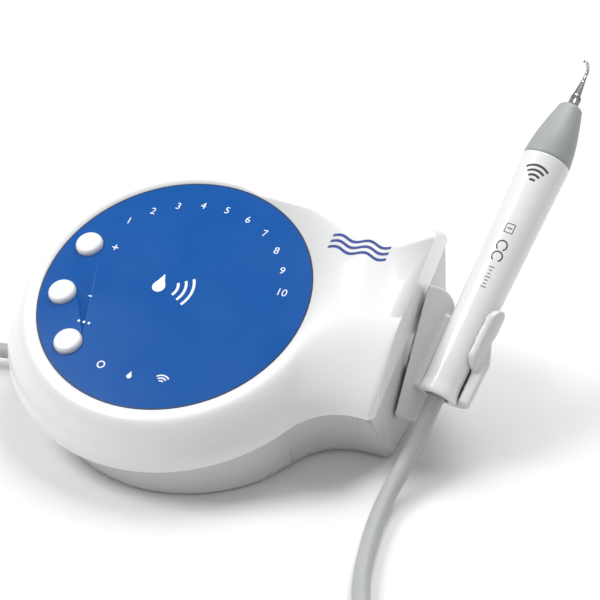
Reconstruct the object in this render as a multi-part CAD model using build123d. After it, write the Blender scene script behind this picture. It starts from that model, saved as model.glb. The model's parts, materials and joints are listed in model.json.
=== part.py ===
from build123d import *
import math
import os

# Ultrasonic scaler: a console with a round tilted control panel, a pivoting holder on its right
# end, and a handpiece on a cord. Millimetres, +Z up, -Y towards the user.
# The model is drawn with its origin on the table under the panel's centre, and moved at the end
# so that the origin is the bottom centre of everything but the cord.

# ---- console ---------------------------------------------------------------------------------
panel_radius = 59.0          # blue film disc
panel_height = 60.0          # panel centre above the table
panel_tilt = 21.6            # degrees towards the user
face_radius = 63.5           # flat ring round the film
rim_radius = 77.0            # widest part of the disc
rim_depth = 18.0             # parting plane below the panel plane
wall = 2.5
film_thickness = 0.6
film_gap = 0.15              # radial gap round the film
block_end = 97.0             # right end wall
block_front_top = 10.0       # where the block's top starts to roll over, along the panel
block_front = -27.0          # the block's front at the parting plane
block_back_slope = 4.0       # degrees, the back edge closes towards the right
base_back_slope = -13.0      # degrees, the foot's back edge opens towards the right
fairing_radius = 28.0        # hollow corner between disc and block
corner_radius = 3.0
base_radius = 57.6           # lower housing at the table
base_centre = 8.0
base_front = 0.0             # block's foot line
base_end = 98.5
base_top_end = 97.0         # lower housing's end wall at the parting plane
base_step = 3.1              # lower housing set in under the rim
base_block_front = -24.0     # lower housing's front at the parting plane
parting_gap = 0.2
foot_radius = 5.0
foot_height = 3.0
foot_proud = 1.0             # what a foot stands out below the housing

# ---- buttons ---------------------------------------------------------------------------------
button_radius = 6.0
button_circle = 48.5
button_angles = {"plus": 165.0, "minus": 197.0, "mode": 229.0}
button_proud = 2.4
button_gap = 0.3
button_travel = 0.8
button_flange = 1.2
button_stem_radius = 1.8

# ---- boards under the panel and on the floor ---------------------------------------------------
board_thickness = 1.6
display_board_radius = 54.0
display_board_depth = 11.0
led_count = 10
led_circle = 46.3
led_first_angle = 140.4
led_step_angle = 14.1
mode_led_angles = (253.0, 271.0, 289.0)
spacer_radius = 3.0
screw_radius = 1.25
screw_head_radius = 2.4
screw_head_height = 1.6
fit_gap = 0.05               # radial gap of a screw or pin in its hole
main_board_size = (84.0, 50.0)
main_board_centre = (10.0, -4.0)
main_board_height = 9.0

# ---- rear recess and what it carries -------------------------------------------------------------
recess_size = (92.0, 38.0)   # opening in X and Z
recess_centre = (30.0, 29.0)
recess_back = 48.0           # Y of the plate's seat
recess_wall = 2.0
plate_thickness = 1.6
knob_x = 14.0
knob_radius = 8.0
knob_length = 11.0
inlet_x = -6.0
foot_socket_x = 34.0
power_socket_x = 51.0
rocker_x = 65.0
rocker_size = (9.0, 18.0)

# ---- holder --------------------------------------------------------------------------------------
pivot_y = 24.0
pivot_z = 40.5
disc_radius = 28.5
disc_thickness = 11.0
disc_gap = 0.5
disc_round = 7.0
axle_radius = 4.0
running_gap = 0.06
cradle_length = 43.0
cradle_wall = 2.4
cradle_gap = 0.4

# ---- handpiece -----------------------------------------------------------------------------------
tail = Vector(114.0, 10.0, 31.0)
handpiece_azimuth = 11.2     # degrees from +Y towards +X
handpiece_rise = 39.6        # degrees above the table
barrel_length = 111.0
barrel_tail_radius = 7.65
barrel_nose_radius = 10.7
flare_radius = 8.4
flare_length = 4.0
barrel_wall = 1.6
nose_length = 27.0
nose_end_radius = 5.3
tail_recess_radius = 5.4
tail_recess_depth = 6.0
tip_length = 17.0

# ---- cord ----------------------------------------------------------------------------------------
cord_radius = 3.5
cord_stub_length = 10.0
coil_centre = (100.0, -161.0)
coil_mid_radius = 40.0
coil_width = 22.0
coil_height = 14.4
tie_thickness = 0.7
gland_x = -54.0
gland_y = -5.0
gland_z = 9.5

os.makedirs("parts", exist_ok=True)


# ---- frames --------------------------------------------------------------------------------------
tilt = math.radians(panel_tilt)
panel_normal = Vector(0, -math.sin(tilt), math.cos(tilt))
panel = Plane(origin=(0, 0, panel_height), x_dir=(1, 0, 0), z_dir=panel_normal)


def panel_at(depth):
    """The plane parallel to the panel, this far below it."""
    return panel.offset(-depth)


def cubic(a, b, c, d, t):
    """One coordinate of a cubic Bezier curve."""
    s = 1.0 - t
    return s * s * s * a + 3 * s * s * t * b + 3 * s * t * t * c + t * t * t * d


def corner(before, vertex, after, radius):
    """Start, middle and end of the arc that rounds a corner of two straight edges."""
    one = (before - vertex).normalized()
    two = (after - vertex).normalized()
    half = math.radians(one.get_angle(two)) / 2.0
    bisector = (one + two).normalized()
    reach = radius / math.tan(half)
    middle = vertex + bisector * (radius / math.sin(half) - radius)
    return vertex + one * reach, middle, vertex + two * reach


def outline(plane, centre, radius, front, end, inset=0.0, back_slope=block_back_slope):
    """The console's plan form: a disc that runs into a block through a hollow fairing."""
    r = radius - inset
    fairing = fairing_radius + inset
    front_line = front + inset
    end_line = end - inset
    corner_r = max(corner_radius - inset, 0.6)
    slope = math.radians(back_slope)
    back = Vector(centre + r * math.sin(slope), r * math.cos(slope))
    back_corner = Vector(end_line, r / math.cos(slope) - (end_line - centre) * math.tan(slope))
    left = Vector(centre - r, 0)
    fairing_x = centre + math.sqrt((r + fairing) ** 2 - (front_line - fairing) ** 2)
    fairing_centre = Vector(fairing_x, front_line - fairing)
    towards = (fairing_centre - Vector(centre, 0)).normalized()
    disc_tangent = Vector(centre, 0) + towards * r
    front_tangent = Vector(fairing_x, front_line)
    bisector = (Vector(0, 1) - towards).normalized()
    fairing_middle = fairing_centre + bisector * fairing
    front_corner = Vector(end_line, front_line)
    near = corner(front_tangent, front_corner, back_corner, corner_r)
    far = corner(front_corner, back_corner, back, corner_r)
    edges = [
        ThreePointArc(back, left, disc_tangent),
        ThreePointArc(disc_tangent, fairing_middle, front_tangent),
        Line(front_tangent, near[0]),
        ThreePointArc(*near),
        Line(near[2], far[0]),
        ThreePointArc(*far),
        Line(far[2], back),
    ]
    return plane * make_face(edges)


def upper_form(inset=0.0, deeper=0.0):
    """The upper housing's form, or the space that a wall of this thickness leaves in it."""
    sections = []
    for t in (0.0, 0.25, 0.5, 0.75, 1.0):
        radius = cubic(face_radius, face_radius + 3, rim_radius, rim_radius, t)
        depth = cubic(0, 0, rim_depth * 2 / 3, rim_depth, t)
        front = cubic(block_front_top, block_front_top - 12, block_front, block_front, t)
        depth = inset + depth * (rim_depth + deeper - inset) / rim_depth
        sections.append(outline(panel_at(depth), 0, radius, front, block_end, inset))
    return loft(sections)


upper_outer = upper_form()
upper_inner = upper_form(wall, 1.0)


def lower_form(inset=0.0):
    """The lower housing's form, which closes in from the parting plane to the table."""
    table = Plane.XY.offset(foot_proud + inset)
    foot = outline(table, base_centre, base_radius, base_front, base_end, inset, base_back_slope)
    top_depth = rim_depth + parting_gap - inset * 0.1
    top = outline(
        panel_at(top_depth), 0, rim_radius - base_step, base_block_front, base_top_end, inset
    )
    return loft([foot, top])


lower_outer = lower_form()
lower_inner = lower_form(wall)
nodes = {}


def at(point, direction=(0, 0, 1)):
    """A plane at this point whose normal looks this way."""
    return Plane(origin=point, z_dir=direction)


def rod(start, direction, length, radius):
    """A solid cylinder from a point, along a direction."""
    return at(start, direction) * Cylinder(radius, length, align=(Align.CENTER, Align.CENTER, Align.MIN))


def tube(start, direction, length, outer, inner):
    """A hollow cylinder from a point, along a direction."""
    return rod(start, direction, length, outer) - rod(start, direction, length, inner)


def block(low, high):
    """A box between two corners."""
    size = [b - a for a, b in zip(low, high)]
    centre = [(a + b) / 2 for a, b in zip(low, high)]
    return Pos(*centre) * Box(*size)


def on_panel(radius, angle, depth=0.0):
    """A point on a circle round the panel's centre, this far below the panel plane."""
    a = math.radians(angle)
    return panel.origin + panel.x_dir * (radius * math.cos(a)) + panel.y_dir * (
        radius * math.sin(a)) - panel_normal * depth


def countersunk(start, direction, length):
    """A pan head screw: the head lies behind the start, the shank runs along the direction."""
    head = rod(start, direction * -1, screw_head_height, screw_head_radius)
    slot = at(start - direction * screw_head_height, direction) * Box(3.2, 0.7, 1.2)
    return rod(start, direction, length, screw_radius) + head - slot


def screw_hole(start, direction, length):
    """The hole that a screw of this length needs, with a little air at its end."""
    return rod(start - direction * 0.2, direction, length + 0.5, screw_radius + fit_gap)


down = panel_normal * -1
roof = wall                                  # depth of the roof's inner face
z_axis = Vector(0, 0, 1)

# ---- housings --------------------------------------------------------------------------------------
# Four long screws come up from the lower housing's floor into bosses that hang from the roof.
housing_screw_at = [(-33.0, -3.0), (14.0, -50.0), (80.0, 14.0), (-22.0, 50.0)]
boss_radius = 3.6
boss_seat = 20.0                             # height where upper and lower bosses meet
housing_screw_length = 16.0
floor_top = foot_proud + wall

upper = upper_outer - upper_inner
lower = lower_outer - lower_inner
housing_screws = []
for x, y in housing_screw_at:
    post = rod((x, y, boss_seat + parting_gap), z_axis, 90, boss_radius) & upper_outer
    upper += post
    collar = rod((x, y, floor_top - 0.5), z_axis, boss_seat - floor_top + 0.5, boss_radius + 1.4)
    lower += collar & lower_outer
for x, y in housing_screw_at:
    seat = Vector(x, y, boss_seat - 4.0)
    well = rod((x, y, 0), z_axis, boss_seat - 4.0, screw_head_radius + 0.3)
    lower -= well + screw_hole(seat, z_axis, housing_screw_length)
    upper -= screw_hole(seat, z_axis, housing_screw_length)
    housing_screws.append(countersunk(seat, z_axis, housing_screw_length))
nodes["housing_screws"] = housing_screws

# Seat for the film, and round holes for the buttons.
film_seat = at(panel.origin, down) * Cylinder(
    panel_radius + film_gap, film_thickness, align=(Align.CENTER, Align.CENTER, Align.MIN))
upper -= film_seat
film = rod(panel.origin - panel_normal * film_thickness, panel_normal, film_thickness, panel_radius)
for angle in button_angles.values():
    centre = on_panel(button_circle, angle, -1.0)
    hole = rod(centre, down, wall + 3, button_radius + button_gap)
    upper -= hole
    film -= hole

# Guide rings under the roof hold the display board and stop the buttons' flanges.
spacer_at = [(38.0, 45.0), (38.0, 135.0), (36.0, 250.0), (38.0, 318.0)]
display_screws = []
for radius, angle in spacer_at:
    top = on_panel(radius, angle, roof - 0.3)
    upper += rod(top, down, display_board_depth - roof + 0.3, spacer_radius)
for radius, angle in spacer_at:
    seat = on_panel(radius, angle, display_board_depth + board_thickness)
    upper -= screw_hole(seat, panel_normal, board_thickness + 5)
    display_screws.append(countersunk(seat, panel_normal, board_thickness + 5))
nodes["display_screws"] = display_screws

board = rod(on_panel(0, 0, display_board_depth), down, board_thickness, display_board_radius)
board -= block((-60, 34, 0), (60, 90, 120))
for radius, angle in spacer_at:
    board -= screw_hole(on_panel(radius, angle, display_board_depth + 4), panel_normal, 9)

# The tall bosses pass the board with room to spare.
for x, y in housing_screw_at:
    board -= rod((x, y, 0), z_axis, 120, boss_radius + 1.5)
nodes["display_board"] = board

leds = []
for index in range(led_count):
    angle = led_first_angle - led_step_angle * index
    base = on_panel(led_circle, angle, display_board_depth)
    leds.append(rod(base, panel_normal, 5.0, 1.5))
for angle in mode_led_angles:
    leds.append(rod(on_panel(led_circle - 1.5, angle, display_board_depth), panel_normal, 5.0, 1.5))
nodes["indicator_leds"] = leds

switches = []
switch_height = 4.3
for angle in button_angles.values():
    base = on_panel(button_circle, angle, display_board_depth)
    x_way = panel.x_dir
    switch_plane = Plane(origin=base, x_dir=x_way, z_dir=panel_normal)
    switches.append(switch_plane * Box(6, 6, switch_height, align=(Align.CENTER, Align.CENTER, Align.MIN)))
nodes["button_switches"] = switches

# A button is a domed cap, a flange that stops it under the roof, and a stem down to its switch.
for name, angle in button_angles.items():
    top = on_panel(button_circle, angle, -button_proud)
    cap_length = button_proud + roof + 0.3
    cap = rod(top, down, cap_length, button_radius)
    cap = fillet(cap.edges().sort_by(Axis(panel.origin, panel_normal))[-1], 1.6)
    flange_depth = roof + 0.3
    flange = rod(on_panel(button_circle, angle, flange_depth), down, 1.0, button_radius + button_flange)
    stem_end = display_board_depth - switch_height - 1.0 - 0.1
    stem = rod(
        on_panel(button_circle, angle, flange_depth), down, stem_end - flange_depth, button_stem_radius)
    nodes["button_" + name] = cap + flange + stem
nodes["control_film"] = film

# ---- lower housing's deck, rear recess and end wall bores --------------------------------------------
deck_depth = rim_depth + parting_gap
deck_low = outline(panel_at(deck_depth), 0, rim_radius, block_front, block_end, wall + 0.8)
deck_top = outline(panel_at(deck_depth - 2.0), 0, rim_radius, block_front, block_end, wall + 2.4)
deck = loft([deck_low, deck_top])
deck_hole = loft([
    outline(panel_at(deck_depth + 1), 0, rim_radius, block_front + 9, block_end, wall + 6.0),
    outline(panel_at(deck_depth - 4), 0, rim_radius, block_front + 9, block_end, wall + 6.0),
])
lower += deck - deck_hole

rx, rz = recess_centre
half_x = recess_size[0] / 2
half_z = recess_size[1] / 2
frame_outer = block(
    (rx - half_x - recess_wall, recess_back - recess_wall, rz - half_z - recess_wall),
    (rx + half_x + recess_wall, 100, rz + half_z + recess_wall))
lower += frame_outer & lower_outer
lower -= block((rx - half_x, recess_back, rz - half_z), (rx + half_x, 100, rz + half_z))
lower -= block(
    (rx - half_x + 4, recess_back - 5, rz - half_z + 4), (rx + half_x - 4, recess_back + 1, rz + half_z - 4))
plate = block(
    (rx - half_x + 0.2, recess_back, rz - half_z + 0.2),
    (rx + half_x - 0.2, recess_back + plate_thickness, rz + half_z - 0.2))
plate_front = recess_back + plate_thickness
back_way = Vector(0, -1, 0)
plate_screws = []
for x in (rx - half_x + 2.6, rx + half_x - 2.6):
    for z in (rz - half_z + 2.6, rz + half_z - 2.6):
        seat = Vector(x, plate_front, z)
        plate -= screw_hole(seat, back_way, plate_thickness)
        lower -= screw_hole(seat, back_way, plate_thickness + 1.6)
        plate_screws.append(
            rod(seat, back_way, plate_thickness + 1.6, screw_radius)
            + rod(seat, back_way * -1, screw_head_height, 2.2))
nodes["plate_screws"] = plate_screws

nodes["rear_plate"] = plate

# ---- rear sockets, water fittings, mains switch ------------------------------------------------------
out_way = Vector(0, 1, 0)


def through_plate(x, radius):
    """Cut a round hole in the rear plate."""
    return rod(Vector(x, recess_back - 3, rz), out_way, plate_thickness + 6, radius)


socket_bore_depth = 9.0


def panel_socket(x, radius, depth):
    """A round panel socket: flange outside, threaded barrel and ring nut inside."""
    face = Vector(x, plate_front, rz)
    body = rod(face, back_way, depth, radius)
    flange = rod(face, out_way, 1.8, radius + 2.0)
    bore = rod(face + out_way * 1.8, back_way, socket_bore_depth, radius - 1.6)
    nut = Plane(origin=face - out_way * (plate_thickness + 0.1), x_dir=(1, 0, 0), z_dir=back_way)
    ring = nut * extrude(RegularPolygon(radius + 3.0, 6), 3.0)
    return body + flange + ring - bore


def contact_holes(x, count, circle, radius, depth):
    """Rods for the contact holes in a socket's floor, evenly spaced on a circle."""
    holes = []
    for index in range(count):
        a = math.radians(45 + 360 / count * index)
        start = Vector(x + circle * math.cos(a), plate_front + 1.8 - socket_bore_depth, rz + circle * math.sin(a))
        holes.append(rod(start + out_way * 0.2, back_way, depth + 0.2, radius))
    return holes


def contact_tubes(x, count, circle, radius, depth):
    """Brass contact tubes sunk just under a socket's floor."""
    tubes = []
    for index in range(count):
        a = math.radians(45 + 360 / count * index)
        start = Vector(x + circle * math.cos(a), plate_front + 1.8 - socket_bore_depth, rz + circle * math.sin(a))
        tubes.append(tube(start - out_way * 0.2, back_way, depth - 0.3, radius - 0.05, radius - 0.35))
    return tubes


foot_socket_radius = 6.0
foot_contacts = (foot_socket_x, 4, 2.4, 0.9, 7.0)
foot_socket = panel_socket(foot_socket_x, foot_socket_radius, 18.0)
for hole in contact_holes(*foot_contacts):
    foot_socket -= hole
nodes["foot_switch_socket"] = foot_socket

power_socket_radius = 4.6
power_contacts = (power_socket_x, 2, 1.5, 0.9, 5.0)
power_socket = panel_socket(power_socket_x, power_socket_radius, 14.0)
for hole in contact_holes(*power_contacts):
    power_socket -= hole
nodes["power_socket"] = power_socket
nodes["socket_pins"] = contact_tubes(*foot_contacts) + contact_tubes(*power_contacts)

# Mains rocker: a frame clipped in a slot of the plate, and a rocker on a pin across it.
rocker_half_x = rocker_size[0] / 2
rocker_half_z = rocker_size[1] / 2
frame_wall = 1.3
rocker_depth = 9.0
rocker_pin_radius = 1.0
rocker_tilt = 8.0
rocker_pin_y = plate_front - 2.0
frame_low = (rocker_x - rocker_half_x - frame_wall, plate_front - rocker_depth, rz - rocker_half_z - frame_wall)
frame_high = (rocker_x + rocker_half_x + frame_wall, plate_front, rz + rocker_half_z + frame_wall)
rocker_frame = block(frame_low, frame_high)
rocker_frame += block(
    (frame_low[0] - 1.2, plate_front, frame_low[2] - 1.2), (frame_high[0] + 1.2, plate_front + 1.4, frame_high[2] + 1.2))
rocker_frame -= block(
    (rocker_x - rocker_half_x, plate_front - rocker_depth + 1.5, rz - rocker_half_z),
    (rocker_x + rocker_half_x, plate_front + 3, rz + rocker_half_z))
rocker_pin_start = Vector(rocker_x - rocker_half_x - 0.9, rocker_pin_y, rz)
rocker_frame -= rod(
    rocker_pin_start - Vector(0.1, 0, 0), Vector(1, 0, 0), rocker_size[0] + 2.0, rocker_pin_radius + running_gap)
nodes["rocker_frame"] = rocker_frame
plate -= block((frame_low[0] - 0.1, recess_back - 1, frame_low[2] - 0.1),
               (frame_high[0] + 0.1, plate_front + 1, frame_high[2] + 0.1))
rocker_gap = 0.35
paddle = rod(
    Vector(rocker_x - rocker_half_x + rocker_gap, plate_front + 1.2, rz), Vector(1, 0, 0),
    rocker_size[0] - 2 * rocker_gap, rocker_half_z - 1.2)
paddle &= block((0, plate_front - 3.6, rz - rocker_half_z + 1.2), (90, plate_front + 3.4, rz + rocker_half_z - 1.2))
paddle += rod(rocker_pin_start, Vector(1, 0, 0), rocker_size[0] + 1.8, rocker_pin_radius)
rocker_pin_axis = Axis(rocker_pin_start, (1, 0, 0))
nodes["power_rocker"] = paddle.rotate(rocker_pin_axis, -rocker_tilt)

# Water: barbed inlet, filter, solenoid valve, needle valve with its knob.
for x, radius in ((foot_socket_x, foot_socket_radius), (power_socket_x, power_socket_radius)):
    plate -= through_plate(x, radius + 0.1)
inlet_radius = 4.0
plate -= through_plate(inlet_x, inlet_radius + 0.1) + through_plate(knob_x, 4.1)
inlet_face = Vector(inlet_x, plate_front, rz)
inlet_hex = Plane(origin=inlet_face, x_dir=(1, 0, 0), z_dir=out_way) * extrude(RegularPolygon(6.4, 6), 3.0)
inlet = rod(inlet_face, back_way, 12.0, inlet_radius) + inlet_hex
inlet += rod(inlet_face + out_way * 3.0, out_way, 12.0, 2.2)
for step in range(3):
    ridge = at(inlet_face + out_way * (5.0 + 3.4 * step), out_way)
    inlet += ridge * Cone(3.0, 2.2, 2.8, align=(Align.CENTER, Align.CENTER, Align.MIN))
inlet -= rod(inlet_face + out_way * 16, back_way, 29.0, 1.4)
nodes["water_inlet"] = inlet
filter_start = inlet_face + back_way * 12.1
nodes["water_filter"] = tube(filter_start, back_way, 9.0, 5.0, 1.4)

valve_face = filter_start + back_way * 9.1
valve_low = (inlet_x - 9.0, valve_face.Y - 16.0, rz - 8.0)
valve_high = (inlet_x + 7.0, valve_face.Y, rz + 6.0)
valve = block(valve_low, valve_high)
valve -= rod(Vector(inlet_x, valve_face.Y + 1, rz), back_way, 9.0, 1.4)
valve_out = Vector(valve_high[0], valve_face.Y - 10.0, rz)
valve_stub = 4.0
valve += tube(valve_out - Vector(1, 0, 0), Vector(1, 0, 0), valve_stub + 1.0, 2.0, 1.2)
nodes["solenoid_valve"] = valve
coil_base = Vector(inlet_x - 1.0, valve_face.Y - 8.0, valve_high[2] + 0.1)
nodes["solenoid_coil"] = tube(coil_base, z_axis, 9.0, 7.0, 2.6)
nodes["solenoid_plunger"] = rod(coil_base, z_axis, 10.0, 2.5)

needle_face = Vector(knob_x, plate_front, rz)
needle_depth = 17.0
needle_body = rod(needle_face, back_way, needle_depth, 4.0)
needle_body += rod(needle_face - out_way * (plate_thickness + 0.1), back_way, needle_depth - 3.0, 6.5)
needle_body -= rod(needle_face + out_way, back_way, 10.0, 2.0 + running_gap)
needle_out = needle_face + back_way * needle_depth
needle_stub = 4.0
needle_body += tube(needle_out + out_way, back_way, needle_stub + 1.0, 2.0, 1.2)
knob_gap = 0.5
knob_base = needle_face + out_way * knob_gap
knob = rod(knob_base, out_way, knob_length, knob_radius)
knob = fillet(knob.edges().sort_by(Axis.Y)[-1], 1.5)
for index in range(16):
    a = math.radians(22.5 * index)
    groove = knob_base + Vector(knob_radius * math.cos(a), 1.5, knob_radius * math.sin(a))
    knob -= rod(groove, out_way, knob_length + 2, 0.7)
knob += rod(knob_base, back_way, 9.0, 2.0)
nodes["water_knob"] = knob
needle_port = Vector(knob_x, plate_front - 12.0, rz - 6.5)
port_stub = 2.6
needle_body += rod(needle_port + z_axis, z_axis * -1, port_stub + 1.0, 2.0)
needle_body -= rod(needle_port + z_axis * 3, z_axis * -1, needle_stub + 9.0, 1.2)
nodes["needle_valve"] = needle_body


def hose(points, bend):
    """A soft water hose pushed over two stubs."""
    path = FilletPolyline(*points, radius=bend)
    frame = Plane(origin=path @ 0, z_dir=path % 0)
    return sweep(frame * (Circle(hose_radius) - Circle(hose_bore)), path=path)


hose_radius = 3.0
hose_bore = 2.0 + fit_gap
valve_end = valve_out + Vector(1.2, 0, 0)
needle_end = needle_out + back_way * 1.2
nodes["valve_hose"] = hose([valve_end, Vector(knob_x, valve_end.Y, rz), needle_end], 5.0)
gland_inner = Vector(gland_x + 6.5, gland_y, gland_z)
nodes["outlet_hose"] = hose([
    needle_port - z_axis * 0.4,
    Vector(knob_x, needle_port.Y, 14.5),
    Vector(-12.0, needle_port.Y - 1.0, 14.5),
    Vector(-37.0, 26.0, 12.0),
    Vector(gland_x + 11.0, gland_y, gland_z),
    gland_inner + Vector(1.2, 0, 0),
], [6.0, 30.0, 30.0, 3.4])
nodes["rear_plate"] = plate

# ---- main board and what stands on it -----------------------------------------------------------------
mx, my = main_board_centre
mw, md = main_board_size
board_bottom = main_board_height
board_top = board_bottom + board_thickness
main_board = block((mx - mw / 2, my - md / 2, board_bottom), (mx + mw / 2, my + md / 2, board_top))
main_screws = []
for sx in (-1, 1):
    for sy in (-1, 1):
        x = mx + sx * (mw / 2 - 5)
        y = my + sy * (md / 2 - 5)
        lower += rod((x, y, floor_top - 0.3), z_axis, board_bottom - floor_top + 0.3, 3.0)
        seat = Vector(x, y, board_top)
        main_board -= screw_hole(seat, z_axis * -1, board_thickness + 4)
        lower -= screw_hole(seat, z_axis * -1, board_thickness + 4)
        main_screws.append(countersunk(seat, z_axis * -1, board_thickness + 4))
nodes["main_board_screws"] = main_screws
for x, y in housing_screw_at:
    main_board -= rod((x, y, 0), z_axis, 30, boss_radius + 2.0)
nodes["main_board"] = main_board

core_low = Vector(mx + 12, my - 14, board_top + 0.1)
core = block(core_low, core_low + Vector(24, 22, 20))
window = block(core_low + Vector(4, -1, 4), core_low + Vector(20, 23, 16))
core -= window
core += block(core_low + Vector(8.5, 0, 3), core_low + Vector(15.5, 22, 17))
nodes["transformer_core"] = core
winding = block(core_low + Vector(4.3, -3, 4.4), core_low + Vector(19.7, 25, 15.6))
winding -= block(core_low + Vector(8.2, -9, 0), core_low + Vector(15.8, 30, 20)) & block(
    core_low + Vector(8.2, -0.3, 0), core_low + Vector(15.8, 22.3, 20))
nodes["transformer_winding"] = fillet(winding.edges().filter_by(Axis.Z).group_by(Axis.Y)[0], 1.0)

sink_low = Vector(mx - 12, my - 20, board_top + 0.1)
sink = block(sink_low, sink_low + Vector(18, 3, 18))
for index in range(5):
    fin = sink_low + Vector(1 + 3.7 * index, 2.5, 2)
    sink += block(fin, fin + Vector(1.2, 9, 16))
nodes["heat_sink"] = sink
transistors = []
for index in range(2):
    low = sink_low + Vector(1.0 + 9.0 * index, -3.6, 3.0)
    transistors.append(block(low, low + Vector(7.0, 3.4, 11)))
nodes["power_transistors"] = transistors
capacitors = []
for x, y, radius, height in ((-18, 4, 6.3, 18.0), (-4, 5, 6.3, 18.0), (10, 16, 4.0, 12.0), (22, 17, 4.0, 12.0)):
    capacitors.append(rod((mx + x, my + y, board_top + 0.1), z_axis, height, radius))
nodes["capacitors"] = capacitors
ribbon_low = Vector(mx - 37, my + 8, board_top + 0.1)
ribbon_top = panel_height - (display_board_depth + board_thickness) / math.cos(tilt) + ribbon_low.Y * math.tan(tilt)
nodes["ribbon_cable"] = block(ribbon_low, (ribbon_low.X + 11.0, ribbon_low.Y + 0.6, ribbon_top - 0.1))
nodes["control_chip"] = block((mx - 30, my - 18, board_top + 0.1), (mx - 17, my - 8, board_top + 2.3))

# ---- feet -----------------------------------------------------------------------------------------------
foot_at = [(-30.0, -28.0), (40.0, -37.0), (88.0, 10.0), (86.0, 40.0), (-30.0, 30.0)]
feet = []
for x, y in foot_at:
    pad = rod((x, y, 0), z_axis, foot_height, foot_radius)
    feet.append(fillet(pad.edges().sort_by(Axis.Z)[0], 0.8))
    lower += rod((x, y, floor_top - 0.5), z_axis, foot_height + 1.5 - floor_top, foot_radius + 1.5) & lower_outer
    lower -= rod((x, y, 0), z_axis, foot_height + 0.05, foot_radius + 0.1)
nodes["rubber_feet"] = feet

# ---- holder -----------------------------------------------------------------------------------------------
x_axis = Vector(1, 0, 0)
pad_radius = 8.0
pad_face = base_end - 0.1
pad_inside = 89.5
pivot = Vector(pad_face, pivot_y, pivot_z)
pad_thickness = pad_face - pad_inside
lower += rod(pivot, x_axis * -1, pad_thickness, pad_radius)
lower -= rod(pivot + x_axis, x_axis * -1, pad_thickness + 4, axle_radius + running_gap)

side_way = Vector(math.cos(math.radians(handpiece_azimuth)), -math.sin(math.radians(handpiece_azimuth)), 0)
rise = math.radians(handpiece_rise)
axis_way = Vector(
    math.cos(rise) * math.sin(math.radians(handpiece_azimuth)),
    math.cos(rise) * math.cos(math.radians(handpiece_azimuth)),
    math.sin(rise))
handpiece = Plane(origin=tail, x_dir=side_way, z_dir=axis_way)
up_way = handpiece.y_dir * -1


def turned(points, frame=handpiece):
    """A solid of revolution about a frame's Z axis, from (radius, height) points."""
    profile = Plane.XZ * make_face(Polyline(*points, close=True))
    return frame * revolve(profile, Axis.Z)


def barrel_radius_at(z):
    """The barrel's outer radius at this distance from its tail."""
    return barrel_tail_radius + (barrel_nose_radius - barrel_tail_radius) * z / barrel_length


straight_end = (flare_radius - barrel_tail_radius) * barrel_length / (barrel_nose_radius - barrel_tail_radius)
clear_low = -30.0
clear_high = 90.0
clearance = turned([
    (0, clear_low),
    (flare_radius + cradle_gap, clear_low),
    (flare_radius + cradle_gap, straight_end),
    (barrel_radius_at(clear_high) + cradle_gap, clear_high),
    (0, clear_high),
])
disc_back = pad_face + disc_gap
disc_plane = Plane(origin=(disc_back, pivot_y, pivot_z), x_dir=(0, 1, 0), z_dir=x_axis)
disc = disc_plane * Cylinder(disc_radius, disc_thickness, align=(Align.CENTER, Align.CENTER, Align.MIN))
disc = fillet(disc.edges().sort_by(Axis.X)[-1], disc_round)
disc = fillet(disc.edges().sort_by(Axis.X)[0], 1.0)

# The cradle is a trough under the handpiece, with a tall rounded tab on its far side.
trough_low = 1.0
trough_high = 34.0
trough_inner = flare_radius + cradle_gap - 0.3
trough_outer = flare_radius + cradle_gap + cradle_wall
trough = turned([
    (trough_inner, trough_low),
    (trough_outer + 2.6, trough_low),
    (trough_outer + 3.0, trough_low + 13),
    (trough_outer, trough_low + 24),
    (trough_outer + 0.4, trough_high),
    (trough_inner, trough_high),
])
open_side = handpiece * (Pos(-40, -80, 0) * Box(80, 80, 200, align=(Align.MIN, Align.MIN, Align.CENTER)))
trough -= open_side
tab_width = 12.0
tab_low = trough_low + 14
tab = turned([
    (trough_inner, tab_low),
    (trough_outer + 0.2, tab_low),
    (trough_outer + 0.8, cradle_length),
    (trough_inner, cradle_length),
])
tab_plane = Plane(origin=tail, x_dir=axis_way, z_dir=side_way)
tab_shape = tab_plane * extrude(
    Pos((tab_low + cradle_length) / 2, 0) * SlotOverall(cradle_length - tab_low, tab_width), 30)
tab &= tab_shape
keel = turned([
    (trough_outer - 1, trough_low + 1),
    (trough_outer + 2.6, trough_low + 1.5),
    (trough_outer + 3.2, trough_low + 20),
    (trough_outer - 1, trough_low + 32),
])
keel &= handpiece * (Box(40, 40, 120) & Pos(0, 1.5, 0) * Box(60, 9, 120, align=(Align.CENTER, Align.MIN, Align.CENTER)))
keel &= handpiece * Box(60, 60, 120, align=(Align.MIN, Align.CENTER, Align.CENTER))
bridge = handpiece * (Pos(-22, 3.5, 6) * Box(24, 9.0, 26, align=(Align.MIN, Align.MIN, Align.MIN)))
bridge &= block((disc_back + 2, -50, 0), (200, 100, 100))
facet_angle = math.radians(38)
facet_way = side_way * math.cos(facet_angle) + up_way * math.sin(facet_angle)
facet = Plane(origin=tail - facet_way * (barrel_radius_at(45) + cradle_gap), z_dir=facet_way)
facet_cut = facet * Box(200, 200, 60, align=(Align.CENTER, Align.CENTER, Align.MIN))
holder = disc - facet_cut + trough + tab + keel + bridge
holder -= clearance
notch = tail + axis_way * (cradle_length - 13) + side_way * (trough_outer - 6) + up_way * -4.5
holder -= rod(notch, side_way, 20, 2.2)
holder += rod(Vector(disc_back + 1, pivot_y, pivot_z), x_axis * -1, disc_back + 1 - pad_inside + 0.6, axle_radius)
axle_end = Vector(pad_inside - 0.6, pivot_y, pivot_z)
holder -= rod(axle_end - x_axis, x_axis, 13, 1.5)
nodes["holder"] = holder
washer_thickness = 1.2
nodes["friction_washer"] = tube(axle_end - x_axis * 0.05, x_axis * -1, washer_thickness, pad_radius - 1.5, 1.6)
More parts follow.
